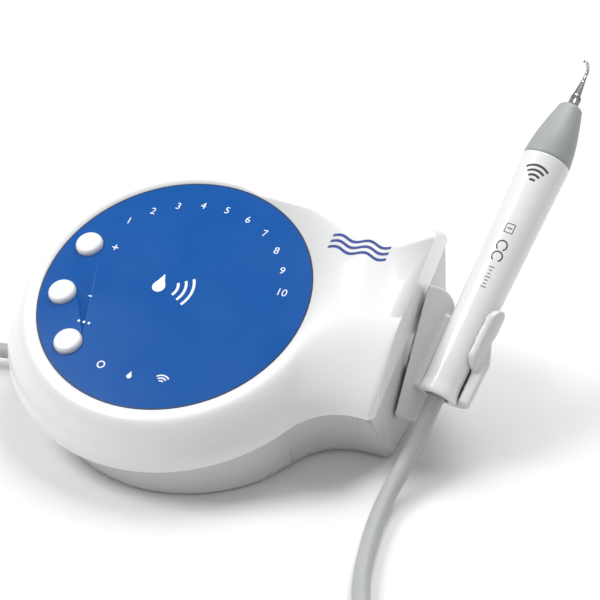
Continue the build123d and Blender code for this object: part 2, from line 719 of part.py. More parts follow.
holder_screw_start = axle_end - x_axis * (washer_thickness + 0.1)
nodes["holder_screw"] = rod(holder_screw_start, x_axis, 11, 1.5 - fit_gap) + rod(
    holder_screw_start, x_axis * -1, 2.4, 3.4)


# ---- handpiece ------------------------------------------------------------------------------------------------
bore_tail = barrel_tail_radius - barrel_wall
bore_nose = barrel_nose_radius - barrel_wall
barrel = turned([
    (tail_recess_radius, 0),
    (flare_radius - 0.5, 0),
    (flare_radius, 0.5),
    (flare_radius - 0.1, 1.6),
    (barrel_radius_at(flare_length), flare_length),
    (barrel_nose_radius, barrel_length),
    (bore_nose, barrel_length),
    (bore_tail, tail_recess_depth + 2),
    (tail_recess_radius, tail_recess_depth),
])
nodes["handpiece_barrel"] = barrel
nose_gap = 0.1
nose_start = barrel_length + nose_gap
nose_end = nose_start + nose_length
horn_radius = 2.3
nose_cone = turned([
    (bore_nose, nose_start),
    (barrel_nose_radius - 0.3, nose_start),
    (barrel_nose_radius - 0.15, nose_start + 1.2),
    (9.6, nose_start + 9),
    (7.6, nose_start + 18),
    (nose_end_radius, nose_end - 1.0),
    (nose_end_radius - 0.6, nose_end),
    (4.45, nose_end),
    (4.45, nose_end - 5.0),
    (5.2, nose_end - 8.0),
    (7.0, nose_start + 10),
])
nodes["nose_cone"] = nose_cone
nodes["light_guide"] = turned([
    (horn_radius + 0.5, nose_end - 7.0),
    (4.4, nose_end - 7.0),
    (4.4, nose_end - 0.2),
    (horn_radius + 0.5, nose_end - 0.2),
])
led_board_at = nose_end - 9.0
nodes["led_board"] = turned([
    (horn_radius + 0.5, led_board_at),
    (4.9, led_board_at),
    (4.9, led_board_at + 0.8),
    (horn_radius + 0.5, led_board_at + 0.8),
])

# The transducer: a back mass, four ceramic rings between electrodes, and a stepped horn on one bolt.
stack_radius = 5.0
bolt_radius = 1.8
bolt_clear = bolt_radius + fit_gap
back_mass_at = 30.0
back_mass_length = 14.0
ring_thickness = 3.0
electrode_thickness = 0.3
nodes["back_mass"] = turned([
    (bolt_clear, back_mass_at), (stack_radius, back_mass_at),
    (stack_radius, back_mass_at + back_mass_length), (bolt_clear, back_mass_at + back_mass_length)])
rings = []
electrodes = []
height = back_mass_at + back_mass_length
for index in range(4):
    electrodes.append(turned([
        (bolt_clear + 0.2, height + 0.02), (stack_radius + 0.4, height + 0.02),
        (stack_radius + 0.4, height + electrode_thickness), (bolt_clear + 0.2, height + electrode_thickness)]))
    height += electrode_thickness + 0.02
    rings.append(turned([
        (bolt_clear + 0.2, height), (stack_radius, height),
        (stack_radius, height + ring_thickness), (bolt_clear + 0.2, height + ring_thickness)]))
    height += ring_thickness
nodes["piezo_rings"] = rings
nodes["electrodes"] = electrodes
horn_at = height + 0.05
bolt_low = back_mass_at - 2.6
nodes["stack_bolt"] = turned([
    (0, bolt_low), (3.4, bolt_low), (3.4, back_mass_at - 0.05), (bolt_radius, back_mass_at - 0.05),
    (bolt_radius, horn_at + 8), (0, horn_at + 8)])
seal_at = (horn_at + 9.0, horn_at + 30.0)
seal_section = 0.9
groove_radius = 4.3
horn_flange = stack_radius + 0.6
thread_radius = 1.5
thread_length = 4.0
horn_end = nose_end + 0.4
horn_points = [
    (bolt_clear, horn_at),
    (horn_flange, horn_at),
    (horn_flange, horn_at + 4),
    (groove_radius, horn_at + 6),
    (groove_radius, horn_at + 34),
    (horn_radius, horn_at + 38),
    (horn_radius, horn_end),
    (thread_radius, horn_end),
    (thread_radius, horn_end + thread_length),
    (0.5, horn_end + thread_length),
    (0.5, horn_at + 9),
    (bolt_clear, horn_at + 8.5),
]
nodes["transducer_horn"] = turned(horn_points)
seals = []
for z in seal_at:
    ring_path = Plane(origin=tail + axis_way * z, x_dir=side_way, z_dir=axis_way)
    seals.append(ring_path * Torus(groove_radius + seal_section + 0.03, seal_section))
nodes["seal_rings"] = seals

# Tail connector: a plug on the cord's end with four pins in a socket block.
connector_at = 4.0
connector_radius = 5.2
connector_end = 16.0
nodes["cord_connector"] = turned([
    (0, connector_at), (connector_radius, connector_at), (connector_radius, connector_end), (0, connector_end)])
pins = []
for index in range(4):
    a = math.radians(90 * index)
    start = tail + axis_way * connector_end + side_way * (2.6 * math.cos(a)) + up_way * (2.6 * math.sin(a))
    pins.append(rod(start, axis_way, 6.0, 0.5))
nodes["connector_pins"] = pins
socket_block = turned([(0, connector_end + 0.3), (5.4, connector_end + 0.3), (5.4, 25.0), (0, 25.0)])
for index in range(4):
    a = math.radians(90 * index)
    start = tail + axis_way * connector_end + side_way * (2.6 * math.cos(a)) + up_way * (2.6 * math.sin(a))
    socket_block -= rod(start, axis_way, 7.0, 0.5 + fit_gap)
nodes["connector_socket"] = socket_block

# Scaling tip: a wrench body screwed over the horn's thread, a slender shank and a hooked point.
wrench_length = 4.6
tip_seat = tail + axis_way * (horn_end + 0.05)
tip_frame = Plane(origin=tip_seat, x_dir=side_way, z_dir=axis_way)
tip = tip_frame * extrude(RegularPolygon(2.6, 6), wrench_length)
tip -= rod(tip_seat - axis_way, axis_way, thread_length + 1.1, thread_radius + fit_gap)
shank_start = tip_seat + axis_way * (wrench_length - 0.05)
tip += Plane(origin=shank_start, x_dir=side_way, z_dir=axis_way) * Cone(
    2.0, 0.9, 8.5, align=(Align.CENTER, Align.CENTER, Align.MIN))
hook = FilletPolyline(
    tip_seat + axis_way * 12.6,
    tip_seat + axis_way * 17.6 + up_way * 0.4,
    tip_seat + axis_way * 19.4 + up_way * 2.6 - side_way * 0.2,
    tip_seat + axis_way * 19.0 + up_way * 6.0 - side_way * 0.8,
    radius=[2.4, 1.8])
tip += sweep(Plane(origin=hook @ 0, z_dir=hook % 0) * Circle(0.75), path=hook)
nodes["scaler_tip"] = tip

# ---- cord -----------------------------------------------------------------------------------------------------------
tail_way = axis_way * -1
nodes["cord_stub"] = rod(tail + axis_way * (connector_at - 0.05), tail_way, connector_at - 0.05 + cord_stub_length, cord_radius)


def cord_path(points):
    """Straight runs joined by arcs, each as large as its two runs allow."""
    radii = []
    for before, point, after in zip(points, points[1:], points[2:]):
        turn = math.radians((point - before).get_angle(after - point))
        run = min((point - before).length, (after - point).length)
        radii.append(0.45 * run / math.tan(turn / 2))
    print("cord radii", [round(r) for r in radii])
    return FilletPolyline(*points, radius=radii)


def cord_tube(points):
    """The cord's solid along a route."""
    path = cord_path(points)
    section = Plane(origin=path @ 0, z_dir=path % 0) * Circle(cord_radius)
    solid = sweep(section, path=path)
    print("cord length", round(path.length), "volume ratio",
          round(solid.volume / (math.pi * cord_radius ** 2 * path.length), 4))
    return solid


lie = cord_radius + 0.1                       # height of the cord's middle on the table
gap_end = cord_stub_length + 4.5
leave = tail + tail_way * gap_end
cord_lead = [
    leave,
    tail + tail_way * (gap_end + 14.0),
    Vector(106.9, -31.0, lie + 1.6),
    Vector(109.0, -52.0, lie),
    Vector(114.5, -78.0, lie),
    Vector(127.0, -102.0, lie),
    Vector(143.0, -122.0, lie),
    Vector(153.2, -146.0, lie),
]
nodes["cord_lead"] = cord_tube(cord_lead)
coil_outer = coil_mid_radius + coil_width / 2
coil_inner = coil_mid_radius - coil_width / 2
coil_base_height = 0.1 + tie_thickness + 0.1
coil = Cylinder(coil_outer, coil_height, align=(Align.CENTER, Align.CENTER, Align.MIN))
coil -= Cylinder(coil_inner, coil_height, align=(Align.CENTER, Align.CENTER, Align.MIN))
nodes["cord_coil"] = Pos(coil_centre[0], coil_centre[1], coil_base_height) * fillet(coil.edges(), 5.0)
tie_x = coil_centre[0] - coil_mid_radius
tie_low = (tie_x - coil_width / 2 - 0.1, coil_centre[1] - 6, coil_base_height - 0.1)
tie_high = (tie_x + coil_width / 2 + 3.4, coil_centre[1] + 6, coil_base_height + coil_height + 0.1)
tie_out_low = (tie_low[0] - tie_thickness, tie_low[1] + 1, tie_low[2] - tie_thickness)
tie_out_high = (tie_high[0] + tie_thickness, tie_high[1] - 1, tie_high[2] + tie_thickness)
tie = block(tie_out_low, tie_out_high) - block(tie_low, tie_high)
nodes["coil_tie"] = tie
cord_return = [
    Vector(coil_centre[0] - 6.0, coil_centre[1] - coil_outer - cord_radius - 0.5, lie),
    Vector(62.0, -215.0, lie),
    Vector(22.0, -206.0, lie),
    Vector(-18.0, -186.0, lie),
    Vector(-55.0, -156.0, lie),
    Vector(-85.0, -117.0, lie),
    Vector(-105.0, -75.0, lie),
    Vector(-112.0, -41.0, lie + 0.6),
    Vector(-109.0, -19.0, lie + 2.4),
    Vector(-98.0, gland_y - 3.0, gland_z - 1.8),
    Vector(gland_x - 28.0, gland_y, gland_z),
    Vector(gland_x - 5.0, gland_y, gland_z),
]
nodes["cord_return"] = cord_tube(cord_return)

# The gland: a rubber bush through the wall with a tapered, ringed strain relief.
gland_way = Vector(-1, 0, 0)
gland_centre = Vector(gland_x, gland_y, gland_z)
bush_radius = 5.2
bush_flange = 6.6
bush = rod(gland_centre - gland_way * 6.0, gland_way, 13.0, bush_radius)
bush += rod(gland_centre - gland_way * 2.0, gland_way, 8.0, bush_flange) - lower_outer
relief_start = gland_centre + gland_way * 6.5
relief_length = 10.4
relief = at(relief_start, gland_way) * Cone(
    bush_radius + 0.4, cord_radius + 0.9, relief_length, align=(Align.CENTER, Align.CENTER, Align.MIN))
for index in range(3):
    ring = at(relief_start + gland_way * (2.4 + 2.8 * index), gland_way)
    relief -= ring * (Cylinder(8, 1.0) - Cylinder(cord_radius + 0.9, 1.0))
bush += relief
bush -= rod(gland_centre + gland_way * 4.9, gland_way, 40, cord_radius + fit_gap)
bush -= rod(gland_centre - gland_way * 8, gland_way, 30, 1.2)
bush_seat = gland_centre - gland_way * 6.4
bush += tube(bush_seat - gland_way * 2.2, gland_way, 3.0, 2.0, 1.2)
nodes["cord_gland"] = bush.solids().sort_by(SortBy.VOLUME)[-1]
lower -= rod(gland_centre - gland_way * 12, gland_way, 24, bush_radius + fit_gap)

# ---- origin and files ------------------------------------------------------------------------------------------------
nodes["upper_housing"] = upper
nodes["lower_housing"] = lower
cord_nodes = ["cord_stub", "cord_lead", "cord_coil", "cord_return", "coil_tie"]
for name, shape in nodes.items():
    nodes[name] = list(shape) if isinstance(shape, (list, ShapeList)) else [shape]
boxes = []
for name, pieces in nodes.items():
    if name not in cord_nodes:
        boxes += [piece.bounding_box() for piece in pieces]
low_x = min(box.min.X for box in boxes)
high_x = max(box.max.X for box in boxes)
low_y = min(box.min.Y for box in boxes)
high_y = max(box.max.Y for box in boxes)
origin = Vector((low_x + high_x) / 2, (low_y + high_y) / 2, 0)
print("origin", tuple(round(v, 3) for v in origin))
shift = Location((-origin.X, -origin.Y, 0))
for name, pieces in nodes.items():
    moved = [piece.moved(shift) for piece in pieces]
    export_step(moved[0] if len(moved) == 1 else Compound(children=moved), "parts/" + name + ".step")
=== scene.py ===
"""Looks of a table-top ultrasonic scaler: console, tilted control panel, pivoting holder, handpiece and cord.

Every length in the classes is in millimetres in the drawing frame of the part: its origin lies on the
table under the panel's centre, +X to the right end, -Y towards the user, +Z up. placed() turns a point
of that frame into metres in the row frame, in which all finished meshes lie.
"""
import json
import logging
import math
from dataclasses import dataclass, field
from enum import Enum
from typing import Iterable, Optional, Sequence, Union

import bmesh
import bpy
from mathutils import Matrix, Vector


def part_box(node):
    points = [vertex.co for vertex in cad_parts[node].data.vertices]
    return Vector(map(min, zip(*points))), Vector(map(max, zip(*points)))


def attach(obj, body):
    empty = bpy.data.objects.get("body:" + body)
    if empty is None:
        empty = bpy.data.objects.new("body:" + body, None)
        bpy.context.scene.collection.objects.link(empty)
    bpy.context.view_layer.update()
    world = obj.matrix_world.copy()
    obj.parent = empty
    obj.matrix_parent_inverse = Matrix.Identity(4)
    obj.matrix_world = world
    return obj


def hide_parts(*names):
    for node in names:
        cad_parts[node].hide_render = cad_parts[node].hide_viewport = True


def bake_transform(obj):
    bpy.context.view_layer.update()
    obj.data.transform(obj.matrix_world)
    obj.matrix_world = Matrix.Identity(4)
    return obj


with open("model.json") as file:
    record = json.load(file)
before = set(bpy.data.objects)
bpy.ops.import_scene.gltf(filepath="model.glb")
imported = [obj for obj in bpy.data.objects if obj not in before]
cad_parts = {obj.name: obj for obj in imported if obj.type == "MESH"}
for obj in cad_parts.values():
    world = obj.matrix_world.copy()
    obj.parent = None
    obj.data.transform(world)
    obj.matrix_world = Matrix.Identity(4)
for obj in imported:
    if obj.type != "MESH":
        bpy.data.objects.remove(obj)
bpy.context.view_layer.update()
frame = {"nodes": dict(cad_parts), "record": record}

LOG = logging.getLogger("scaler")
MM = 0.001

PANEL_TILT = math.radians(21.6)
PANEL_HEIGHT = 60.0
PANEL_NORMAL = Vector((0.0, -math.sin(PANEL_TILT), math.cos(PANEL_TILT)))
FILM_LOW, FILM_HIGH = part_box("control_film")
FILM_THICKNESS = 0.6
FILM_CENTRE = (FILM_LOW + FILM_HIGH) / 2
# The film's middle lies half its thickness under the panel's centre, along the panel's normal.
DRAWING_ORIGIN = FILM_CENTRE + PANEL_NORMAL * (FILM_THICKNESS / 2 * MM) - Vector((0, 0, PANEL_HEIGHT * MM))

TAIL = Vector((114.0, 10.0, 31.0))
HANDPIECE_AZIMUTH = math.radians(11.2)
HANDPIECE_RISE = math.radians(39.6)


def placed(x: float, y: float, z: float) -> Vector:
    """A point of the drawing frame, in metres in the row frame.

    Args:
        x: towards the console's right end, in millimetres.
        y: away from the user, in millimetres.
        z: upwards, in millimetres.

    Returns:
        The same point in the row frame.
    """
    return Vector((x, y, z)) * MM + DRAWING_ORIGIN


def frame_matrix(origin: Vector, x_axis: Vector, z_axis: Vector) -> Matrix:
    """Matrix from millimetres in a local frame to metres in the row frame.

    Args:
        origin: the local origin, in millimetres in the drawing frame.
        x_axis: direction of local X.
        z_axis: direction of local Z, square to X.

    Returns:
        The 4 by 4 matrix.
    """
    z_dir = z_axis.normalized()
    x_dir = x_axis.normalized()
    y_dir = z_dir.cross(x_dir)
    turn = Matrix((x_dir, y_dir, z_dir)).transposed().to_4x4()
    return Matrix.Translation(placed(*origin)) @ turn @ Matrix.Scale(MM, 4)


SIDE_WAY = Vector((math.cos(HANDPIECE_AZIMUTH), -math.sin(HANDPIECE_AZIMUTH), 0.0))
AXIS_WAY = Vector((
    math.cos(HANDPIECE_RISE) * math.sin(HANDPIECE_AZIMUTH),
    math.cos(HANDPIECE_RISE) * math.cos(HANDPIECE_AZIMUTH),
    math.sin(HANDPIECE_RISE)))
HANDPIECE_FRAME = frame_matrix(TAIL, SIDE_WAY, AXIS_WAY)
PANEL_FRAME = frame_matrix(Vector((0, 0, PANEL_HEIGHT)), Vector((1, 0, 0)), PANEL_NORMAL)


# ---- materials ---------------------------------------------------------------------------------------

Socket = Union[float, tuple, bpy.types.NodeSocket]
# The colour sockets of a mix node: its factor, its two colours, and its colour result.
MIX_FACTOR, MIX_A, MIX_B, MIX_RESULT = 0, 6, 7, 2
COAT_ROUGHNESS = 0.05
SUBSURFACE_REACH_MM = 2.0
# A noise texture's values crowd round a half, so this span of them covers the whole roughness range.
NOISE_LOW, NOISE_HIGH = 0.3, 0.7


def linear(code: str, alpha: float = 1.0) -> tuple:
    """Linear RGBA of an sRGB colour.

    Args:
        code: six hex digits.
        alpha: the fourth value.

    Returns:
        The four linear values.
    """
    values = [int(code[i:i + 2], 16) / 255 for i in (0, 2, 4)]
    return tuple(v / 12.92 if v <= 0.04045 else ((v + 0.055) / 1.055) ** 2.4 for v in values) + (alpha,)


def add_node(
        tree: bpy.types.NodeTree, kind: str, inputs: Optional[dict] = None, **settings) -> bpy.types.Node:
    """Add one shader node.

    Args:
        tree: the node tree.
        kind: the node's type.
        inputs: socket name or index to a value, or to the output socket that feeds it.
        settings: the node's own properties.

    Returns:
        The new node.
    """
    node = tree.nodes.new(kind)
    for key, value in settings.items():
        setattr(node, key, value)
    for key, value in (inputs or {}).items():
        if isinstance(value, bpy.types.NodeSocket):
            tree.links.new(value, node.inputs[key])
        else:
            node.inputs[key].default_value = value
    return node


@dataclass(frozen=True)
class Finish:
    """A surface: a base colour with a slow drift, a fine relief, and its gloss.

    The drift is what handling and moulding leave over centimetres, the relief is the grain that the
    mould, the drawing die or the polishing wheel leaves.
    """

    name: str
    colour: str
    drift: str
    roughness: float
    rough_spread: float = 0.06
    metallic: float = 0.0
    ior: float = 1.5
    specular: float = 0.5
    coat: float = 0.0
    grain_mm: float = 0.6
    relief_mm: float = 0.01
    drift_mm: float = 30.0
    stretch: tuple = (1.0, 1.0, 1.0)
    subsurface: float = 0.0
    transmission: float = 0.0

    def make(self) -> bpy.types.Material:
        """Build the material, or return the one already built under this name."""
        if self.name in bpy.data.materials:
            return bpy.data.materials[self.name]
        material = bpy.data.materials.new(self.name)
        material.use_nodes = True
        tree = material.node_tree
        shader = tree.nodes["Principled BSDF"]
        place = add_node(tree, "ShaderNodeTexCoord")
        mapped = add_node(
            tree, "ShaderNodeMapping", {"Vector": place.outputs["Object"], "Scale": self.stretch})
        vector = mapped.outputs["Vector"]
        slow = add_node(tree, "ShaderNodeTexNoise", {
            "Vector": vector, "Scale": 1000.0 / self.drift_mm, "Detail": 2.0, "Roughness": 0.5})
        colour = add_node(tree, "ShaderNodeMix", {
            MIX_FACTOR: slow.outputs["Fac"], MIX_A: linear(self.colour), MIX_B: linear(self.drift)},
            data_type="RGBA")
        colour_out = self.colour_over(tree, vector, colour.outputs[MIX_RESULT])
        tree.links.new(colour_out, shader.inputs["Base Color"])
        fine = add_node(tree, "ShaderNodeTexNoise", {
            "Vector": vector, "Scale": 1000.0 / self.grain_mm, "Detail": 3.0, "Roughness": 0.6})
        rough = add_node(tree, "ShaderNodeMapRange", {
            "Value": slow.outputs["Fac"], "From Min": NOISE_LOW, "From Max": NOISE_HIGH,
            "To Min": max(self.roughness - self.rough_spread, 0.0),
            "To Max": min(self.roughness + self.rough_spread, 1.0)})
        tree.links.new(rough.outputs["Result"], shader.inputs["Roughness"])
        bump = add_node(tree, "ShaderNodeBump", {
            "Height": fine.outputs["Fac"], "Distance": self.relief_mm * MM, "Strength": 1.0})
        tree.links.new(bump.outputs["Normal"], shader.inputs["Normal"])
        shader.inputs["Metallic"].default_value = self.metallic
        shader.inputs["IOR"].default_value = self.ior
        shader.inputs["Specular IOR Level"].default_value = self.specular
        shader.inputs["Coat Weight"].default_value = self.coat
        shader.inputs["Coat Roughness"].default_value = COAT_ROUGHNESS
        shader.inputs["Subsurface Weight"].default_value = self.subsurface
        shader.inputs["Subsurface Scale"].default_value = SUBSURFACE_REACH_MM * MM
        shader.inputs["Transmission Weight"].default_value = self.transmission
        return material

    def colour_over(self, tree: bpy.types.NodeTree, vector: Socket, colour: Socket) -> Socket:
        """The base colour with whatever pattern this finish adds; plain here."""
        return colour


@dataclass(frozen=True)
class Windings(Finish):
    """Enamelled copper wire wound side by side: bands across the coil's height, with painted shade in the
    valley between two turns.
    """

    pitch_mm: float = 0.8
    # The darker colour of the painted shade in the valley between two turns of wire.
    painted_valley_shade: str = "4a2410"

    def colour_over(self, tree: bpy.types.NodeTree, vector: Socket, colour: Socket) -> Socket:
        """Paint shade into the valley between two turns of wire."""
        # A wave texture of scale 1 has a period of a twentieth of a full turn.
        wave = add_node(tree, "ShaderNodeTexWave", {
            "Vector": vector, "Scale": math.tau / 20.0 * 1000.0 / self.pitch_mm, "Distortion": 0.0},
            wave_type="BANDS", bands_direction="Z", wave_profile="SIN")
        band = add_node(tree, "ShaderNodeMix", {
            MIX_FACTOR: wave.outputs["Fac"], MIX_A: linear(self.painted_valley_shade), MIX_B: colour}, data_type="RGBA")
        return band.outputs[MIX_RESULT]


@dataclass(frozen=True)
class Board(Finish):
    """Glass-fibre board under green solder mask, with copper tracks showing through as lighter lines."""

    track_mm: float = 5.0
    track_share: float = 0.06
    track_colour: str = "3f8f55"

    def colour_over(self, tree: bpy.types.NodeTree, vector: Socket, colour: Socket) -> Socket:
        """Draw tracks along the borders of a cell pattern."""
        cells = add_node(tree, "ShaderNodeTexVoronoi", {
            "Vector": vector, "Scale": 1000.0 / self.track_mm}, feature="DISTANCE_TO_EDGE")
        track = add_node(tree, "ShaderNodeMath", {
            0: cells.outputs["Distance"], 1: self.track_share}, operation="LESS_THAN")
        drawn = add_node(tree, "ShaderNodeMix", {
            MIX_FACTOR: track.outputs["Value"], MIX_A: colour, MIX_B: linear(self.track_colour)},
            data_type="RGBA")
        return drawn.outputs[MIX_RESULT]


class Surface(Enum):
    """Every finish on the scaler, named for its real material."""

    # Gloss ABS from a polished mould: bright, with a soft sheen that still blurs reflections.
    HOUSING = Finish("gloss_white_abs", "f2f2f3", "edeeef", 0.24, coat=0.25, grain_mm=1.2, relief_mm=0.004)
    # The base is the same ABS in light grey from an eroded mould: satin, with a fine even grain.
    BASE = Finish("satin_grey_abs", "d2d3d4", "cdced0", 0.42, grain_mm=0.7, relief_mm=0.02)
    # Screen-printed polyester film: deep colour under a clear satin face with a weak reflection.
    FILM = Finish("printed_polyester_film", "03509c", "0553a1", 0.3, specular=0.25, grain_mm=2.0,
                  relief_mm=0.001)
    # The ink line that ends the film, nearly black blue.
    FILM_EDGE = Finish("dark_blue_ink", "12305e", "152f58", 0.4)
    WHITE_INK = Finish("white_screen_ink", "eef2f7", "e8edf4", 0.45, relief_mm=0.003)
    BLUE_INK = Finish("dark_blue_pad_ink", "243f8f", "223c88", 0.4, relief_mm=0.003)
    GREY_INK = Finish("dark_grey_pad_ink", "3d3f44", "393b40", 0.5, relief_mm=0.003)
    BUTTON = Finish("pearl_white_abs", "eceef1", "e6e8ec", 0.28, coat=0.3, grain_mm=0.8, relief_mm=0.003)
    HOLDER = Finish("holder_grey_abs", "d9dadb", "d3d4d6", 0.34, coat=0.1, grain_mm=0.8, relief_mm=0.008)
    # The handpiece sleeve goes through a steriliser: polyphenylsulphone, hard and waxy white.
    SLEEVE = Finish("polished_white_ppsu", "f0f0f0", "eaebec", 0.26, coat=0.3, grain_mm=1.0, relief_mm=0.003)
    NOSE = Finish("matt_grey_ppsu", "a6a9a9", "a1a4a5", 0.42, grain_mm=0.5, relief_mm=0.01)
    TIP = Finish("polished_stainless_steel", "c9cacc", "bfc0c3", 0.12, metallic=1.0, grain_mm=0.3,
                 relief_mm=0.002)
    CORD = Finish("grey_silicone_cord", "b4b6b6", "aeb0b1", 0.5, grain_mm=0.5, relief_mm=0.015,
                  subsurface=0.05)
    RUBBER = Finish("black_nitrile_rubber", "26272a", "2d2e31", 0.7, grain_mm=0.5, relief_mm=0.03)
    STRAP = Finish("black_nylon_strap", "1d1e20", "26272a", 0.8, grain_mm=0.4, relief_mm=0.06)
    DARK_PLASTIC = Finish("black_pbt", "202124", "282a2d", 0.45, grain_mm=0.5, relief_mm=0.02)
    GREY_PLASTIC = Finish("grey_polycarbonate", "8f9295", "898c90", 0.45, grain_mm=0.6, relief_mm=0.02)
    NYLON = Finish("natural_nylon", "dedbd0", "d6d2c6", 0.5, grain_mm=0.5, relief_mm=0.02)
    CLEAR = Finish("clear_polycarbonate", "e9f0f4", "e2eaf0", 0.08, transmission=0.8, ior=1.58)
    STEEL = Finish("zinc_plated_steel", "b4b6b8", "9da0a3", 0.3, metallic=1.0, grain_mm=0.3, relief_mm=0.01)
    TITANIUM = Finish("turned_titanium", "9c9893", "8d8a86", 0.32, metallic=1.0, stretch=(1, 1, 6),
                      relief_mm=0.01)
    BRASS = Finish("turned_brass", "c8a45a", "b8934a", 0.28, metallic=1.0, grain_mm=0.4, relief_mm=0.01)
    ALUMINIUM = Finish("extruded_aluminium", "b9bcc0", "aeb1b6", 0.36, metallic=1.0, stretch=(1, 1, 0.1))
    CERAMIC = Finish("fired_piezo_ceramic", "8a8170", "7d7565", 0.6, grain_mm=0.3, relief_mm=0.02)
    FERRITE = Finish("sintered_ferrite", "2c2b2e", "353438", 0.6, grain_mm=0.3, relief_mm=0.03)
    SLEEVED = Finish("capacitor_sleeve", "18204a", "1c2552", 0.35)
    HOSE = Finish("clear_silicone_hose", "d3d8d8", "c8cece", 0.3, transmission=0.3)
    # Copper wire with painted shade in the valleys between its turns.
    COPPER = Windings("enamelled_copper_wire", "b0622e", "a65a28", 0.35, metallic=0.8)
    BOARD = Board("solder_masked_board", "1c5a33", "1f6038", 0.4)
    FLOOR = Finish("white_studio_floor", "f4f4f5", "f1f1f2", 0.75, drift_mm=400.0)

    def dress(self, piece: bpy.types.Object) -> None:
        """Give the whole piece this finish.

        Args:
            piece: a mesh object.
        """
        material = self.value.make()
        piece.data.materials.clear()
        piece.data.materials.append(material)


# ---- mesh helpers --------------------------------------------------------------------------------------

# Vertices closer than this, in millimetres, are one, and shorter edges than the second are removed.
MERGE_MM = 1e-4
DEGENERATE_MM = 1e-5
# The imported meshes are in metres, so their merging distance is too.
NODE_MERGE_M = 1e-6


def link_mesh(mesh: bmesh.types.BMesh, name: str, sharp: float) -> bpy.types.Object:
    """Put a bmesh into the scene as a smoothly shaded object.

    Args:
        mesh: the shape, in metres in the row frame; it is freed.
        name: the object's name.
        sharp: edges that fold more than this many degrees stay crisp.

    Returns:
        The object, at the origin.
    """
    data = bpy.data.meshes.new(name)
    mesh.to_mesh(data)
    mesh.free()
    piece = bpy.data.objects.new(name, data)
    bpy.context.scene.collection.objects.link(piece)
    shade(piece, sharp)
    return piece


def finish_mesh(mesh: bmesh.types.BMesh, name: str, place: Matrix, sharp: float = 35.0) -> bpy.types.Object:
    """Turn a bmesh into a finished object.

    Args:
        mesh: the shape, in millimetres in a local frame; it is freed.
        name: the piece's name.
        place: matrix from the local frame to the row frame.
        sharp: edges that fold more than this many degrees stay crisp.

    Returns:
        The object, at the origin, with its place in its mesh.
    """
    bmesh.ops.remove_doubles(mesh, verts=mesh.verts, dist=MERGE_MM)
    bmesh.ops.dissolve_degenerate(mesh, edges=mesh.edges, dist=DEGENERATE_MM)
    bmesh.ops.recalc_face_normals(mesh, faces=mesh.faces)
    mesh.transform(place)
    return link_mesh(mesh, name, sharp)


def shade(piece: bpy.types.Object, sharp: float) -> None:
    """Shade a mesh smooth, but for its sharp edges.

    Args:
        piece: a mesh object.
        sharp: edges that fold more than this many degrees stay crisp.
    """
    piece.data.polygons.foreach_set("use_smooth", [True] * len(piece.data.polygons))
    piece.data.set_sharp_from_angle(angle=math.radians(sharp))
    piece.data.update()


def spun(profile: Sequence[tuple], steps: int = 96) -> bmesh.types.BMesh:
    """Spin a profile of (radius, height) points full round the local Z axis.

    Args:
        profile: the points of a closed outline, or of an open one that starts and ends on the axis.
        steps: faces round the axis.

    Returns:
        The turned shape.
    """
    mesh = bmesh.new()
    verts = [mesh.verts.new((radius, 0.0, height)) for radius, height in profile]
    on_axis = profile[0][0] < 1e-6 and profile[-1][0] < 1e-6
    pairs = list(zip(verts, verts[1:])) + ([] if on_axis else [(verts[-1], verts[0])])
    edges = [mesh.edges.new(pair) for pair in pairs]
    bmesh.ops.spin(
        mesh, geom=verts + edges, cent=(0, 0, 0), axis=(0, 0, 1), angle=math.tau, steps=steps, use_merge=True)
    return mesh


def softened(points: Sequence[tuple], radius: float, cuts: int = 4) -> list:
    """Round the corners of an outline with short quadratic curves.

    Args:
        points: the corners, as (radius, height) points; the first and last stay.
        radius: how far along each side a curve starts, at most.
        cuts: points on each curve.

    Returns:
        The rounded outline.
    """
    most = 0.45
    line = [Vector(points[0])]
    for before, corner, after in zip(points, points[1:], points[2:]):
        here = Vector(corner)
        back = Vector(before) - here
        ahead = Vector(after) - here
        reach = min(radius, back.length * most, ahead.length * most)
        start = here + back.normalized() * reach
        end = here + ahead.normalized() * reach
        for index in range(cuts + 1):
            t = index / cuts
            line.append(start.lerp(here, t).lerp(here.lerp(end, t), t))
    line.append(Vector(points[-1]))
    return [tuple(point) for point in line]


def from_node(node: str, name: str, sharp: float = 32.0) -> bpy.types.Object:
    """A merged, smoothly shaded copy of a CAD node's mesh.

    Args:
        node: the CAD node.
        name: the copy's name.
        sharp: edges that fold more than this many degrees stay crisp.

    Returns:
        The copy; the node's own mesh stays as it was.
    """
    mesh = bmesh.new()
    mesh.from_mesh(frame["nodes"][node].data)
    bmesh.ops.remove_doubles(mesh, verts=mesh.verts, dist=NODE_MERGE_M)
    return link_mesh(mesh, name, sharp)


def install(piece: bpy.types.Object, body: str, finish: Surface, slot: str, *nodes: str) -> bpy.types.Object:
    """Dress a piece, let it ride on its body and hide the CAD nodes that it replaces.

    Args:
        piece: the finished piece.
        body: the CAD body that carries it.
        finish: its surface.
        slot: the record's material slot; not used.
        nodes: CAD nodes that it replaces.

    Returns:
        The same piece.
    """
    finish.dress(piece)
    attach(piece, body)
    if nodes:
        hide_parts(*nodes)
    LOG.info("piece %s on %s: %d faces", piece.name, body, len(piece.data.polygons))
    return piece


def text_mesh(words: str, size: float) -> bpy.types.Mesh:
    """Thin figures as a mesh, centred on the local origin, in millimetres.

    Args:
        words: the figures.
        size: the font's size.

    Returns:
        The mesh, for the caller to place and remove.
    """
    curve = bpy.data.curves.new("figures", "FONT")
    curve.body = words
    curve.size = size
    curve.align_x = "CENTER"
    curve.align_y = "CENTER"
    curve.extrude = 0.02
    holder = bpy.data.objects.new("figures", curve)
    bpy.context.scene.collection.objects.link(holder)
    bpy.context.view_layer.update()
    data = bpy.data.meshes.new_from_object(holder)
    bpy.data.objects.remove(holder)
    return data


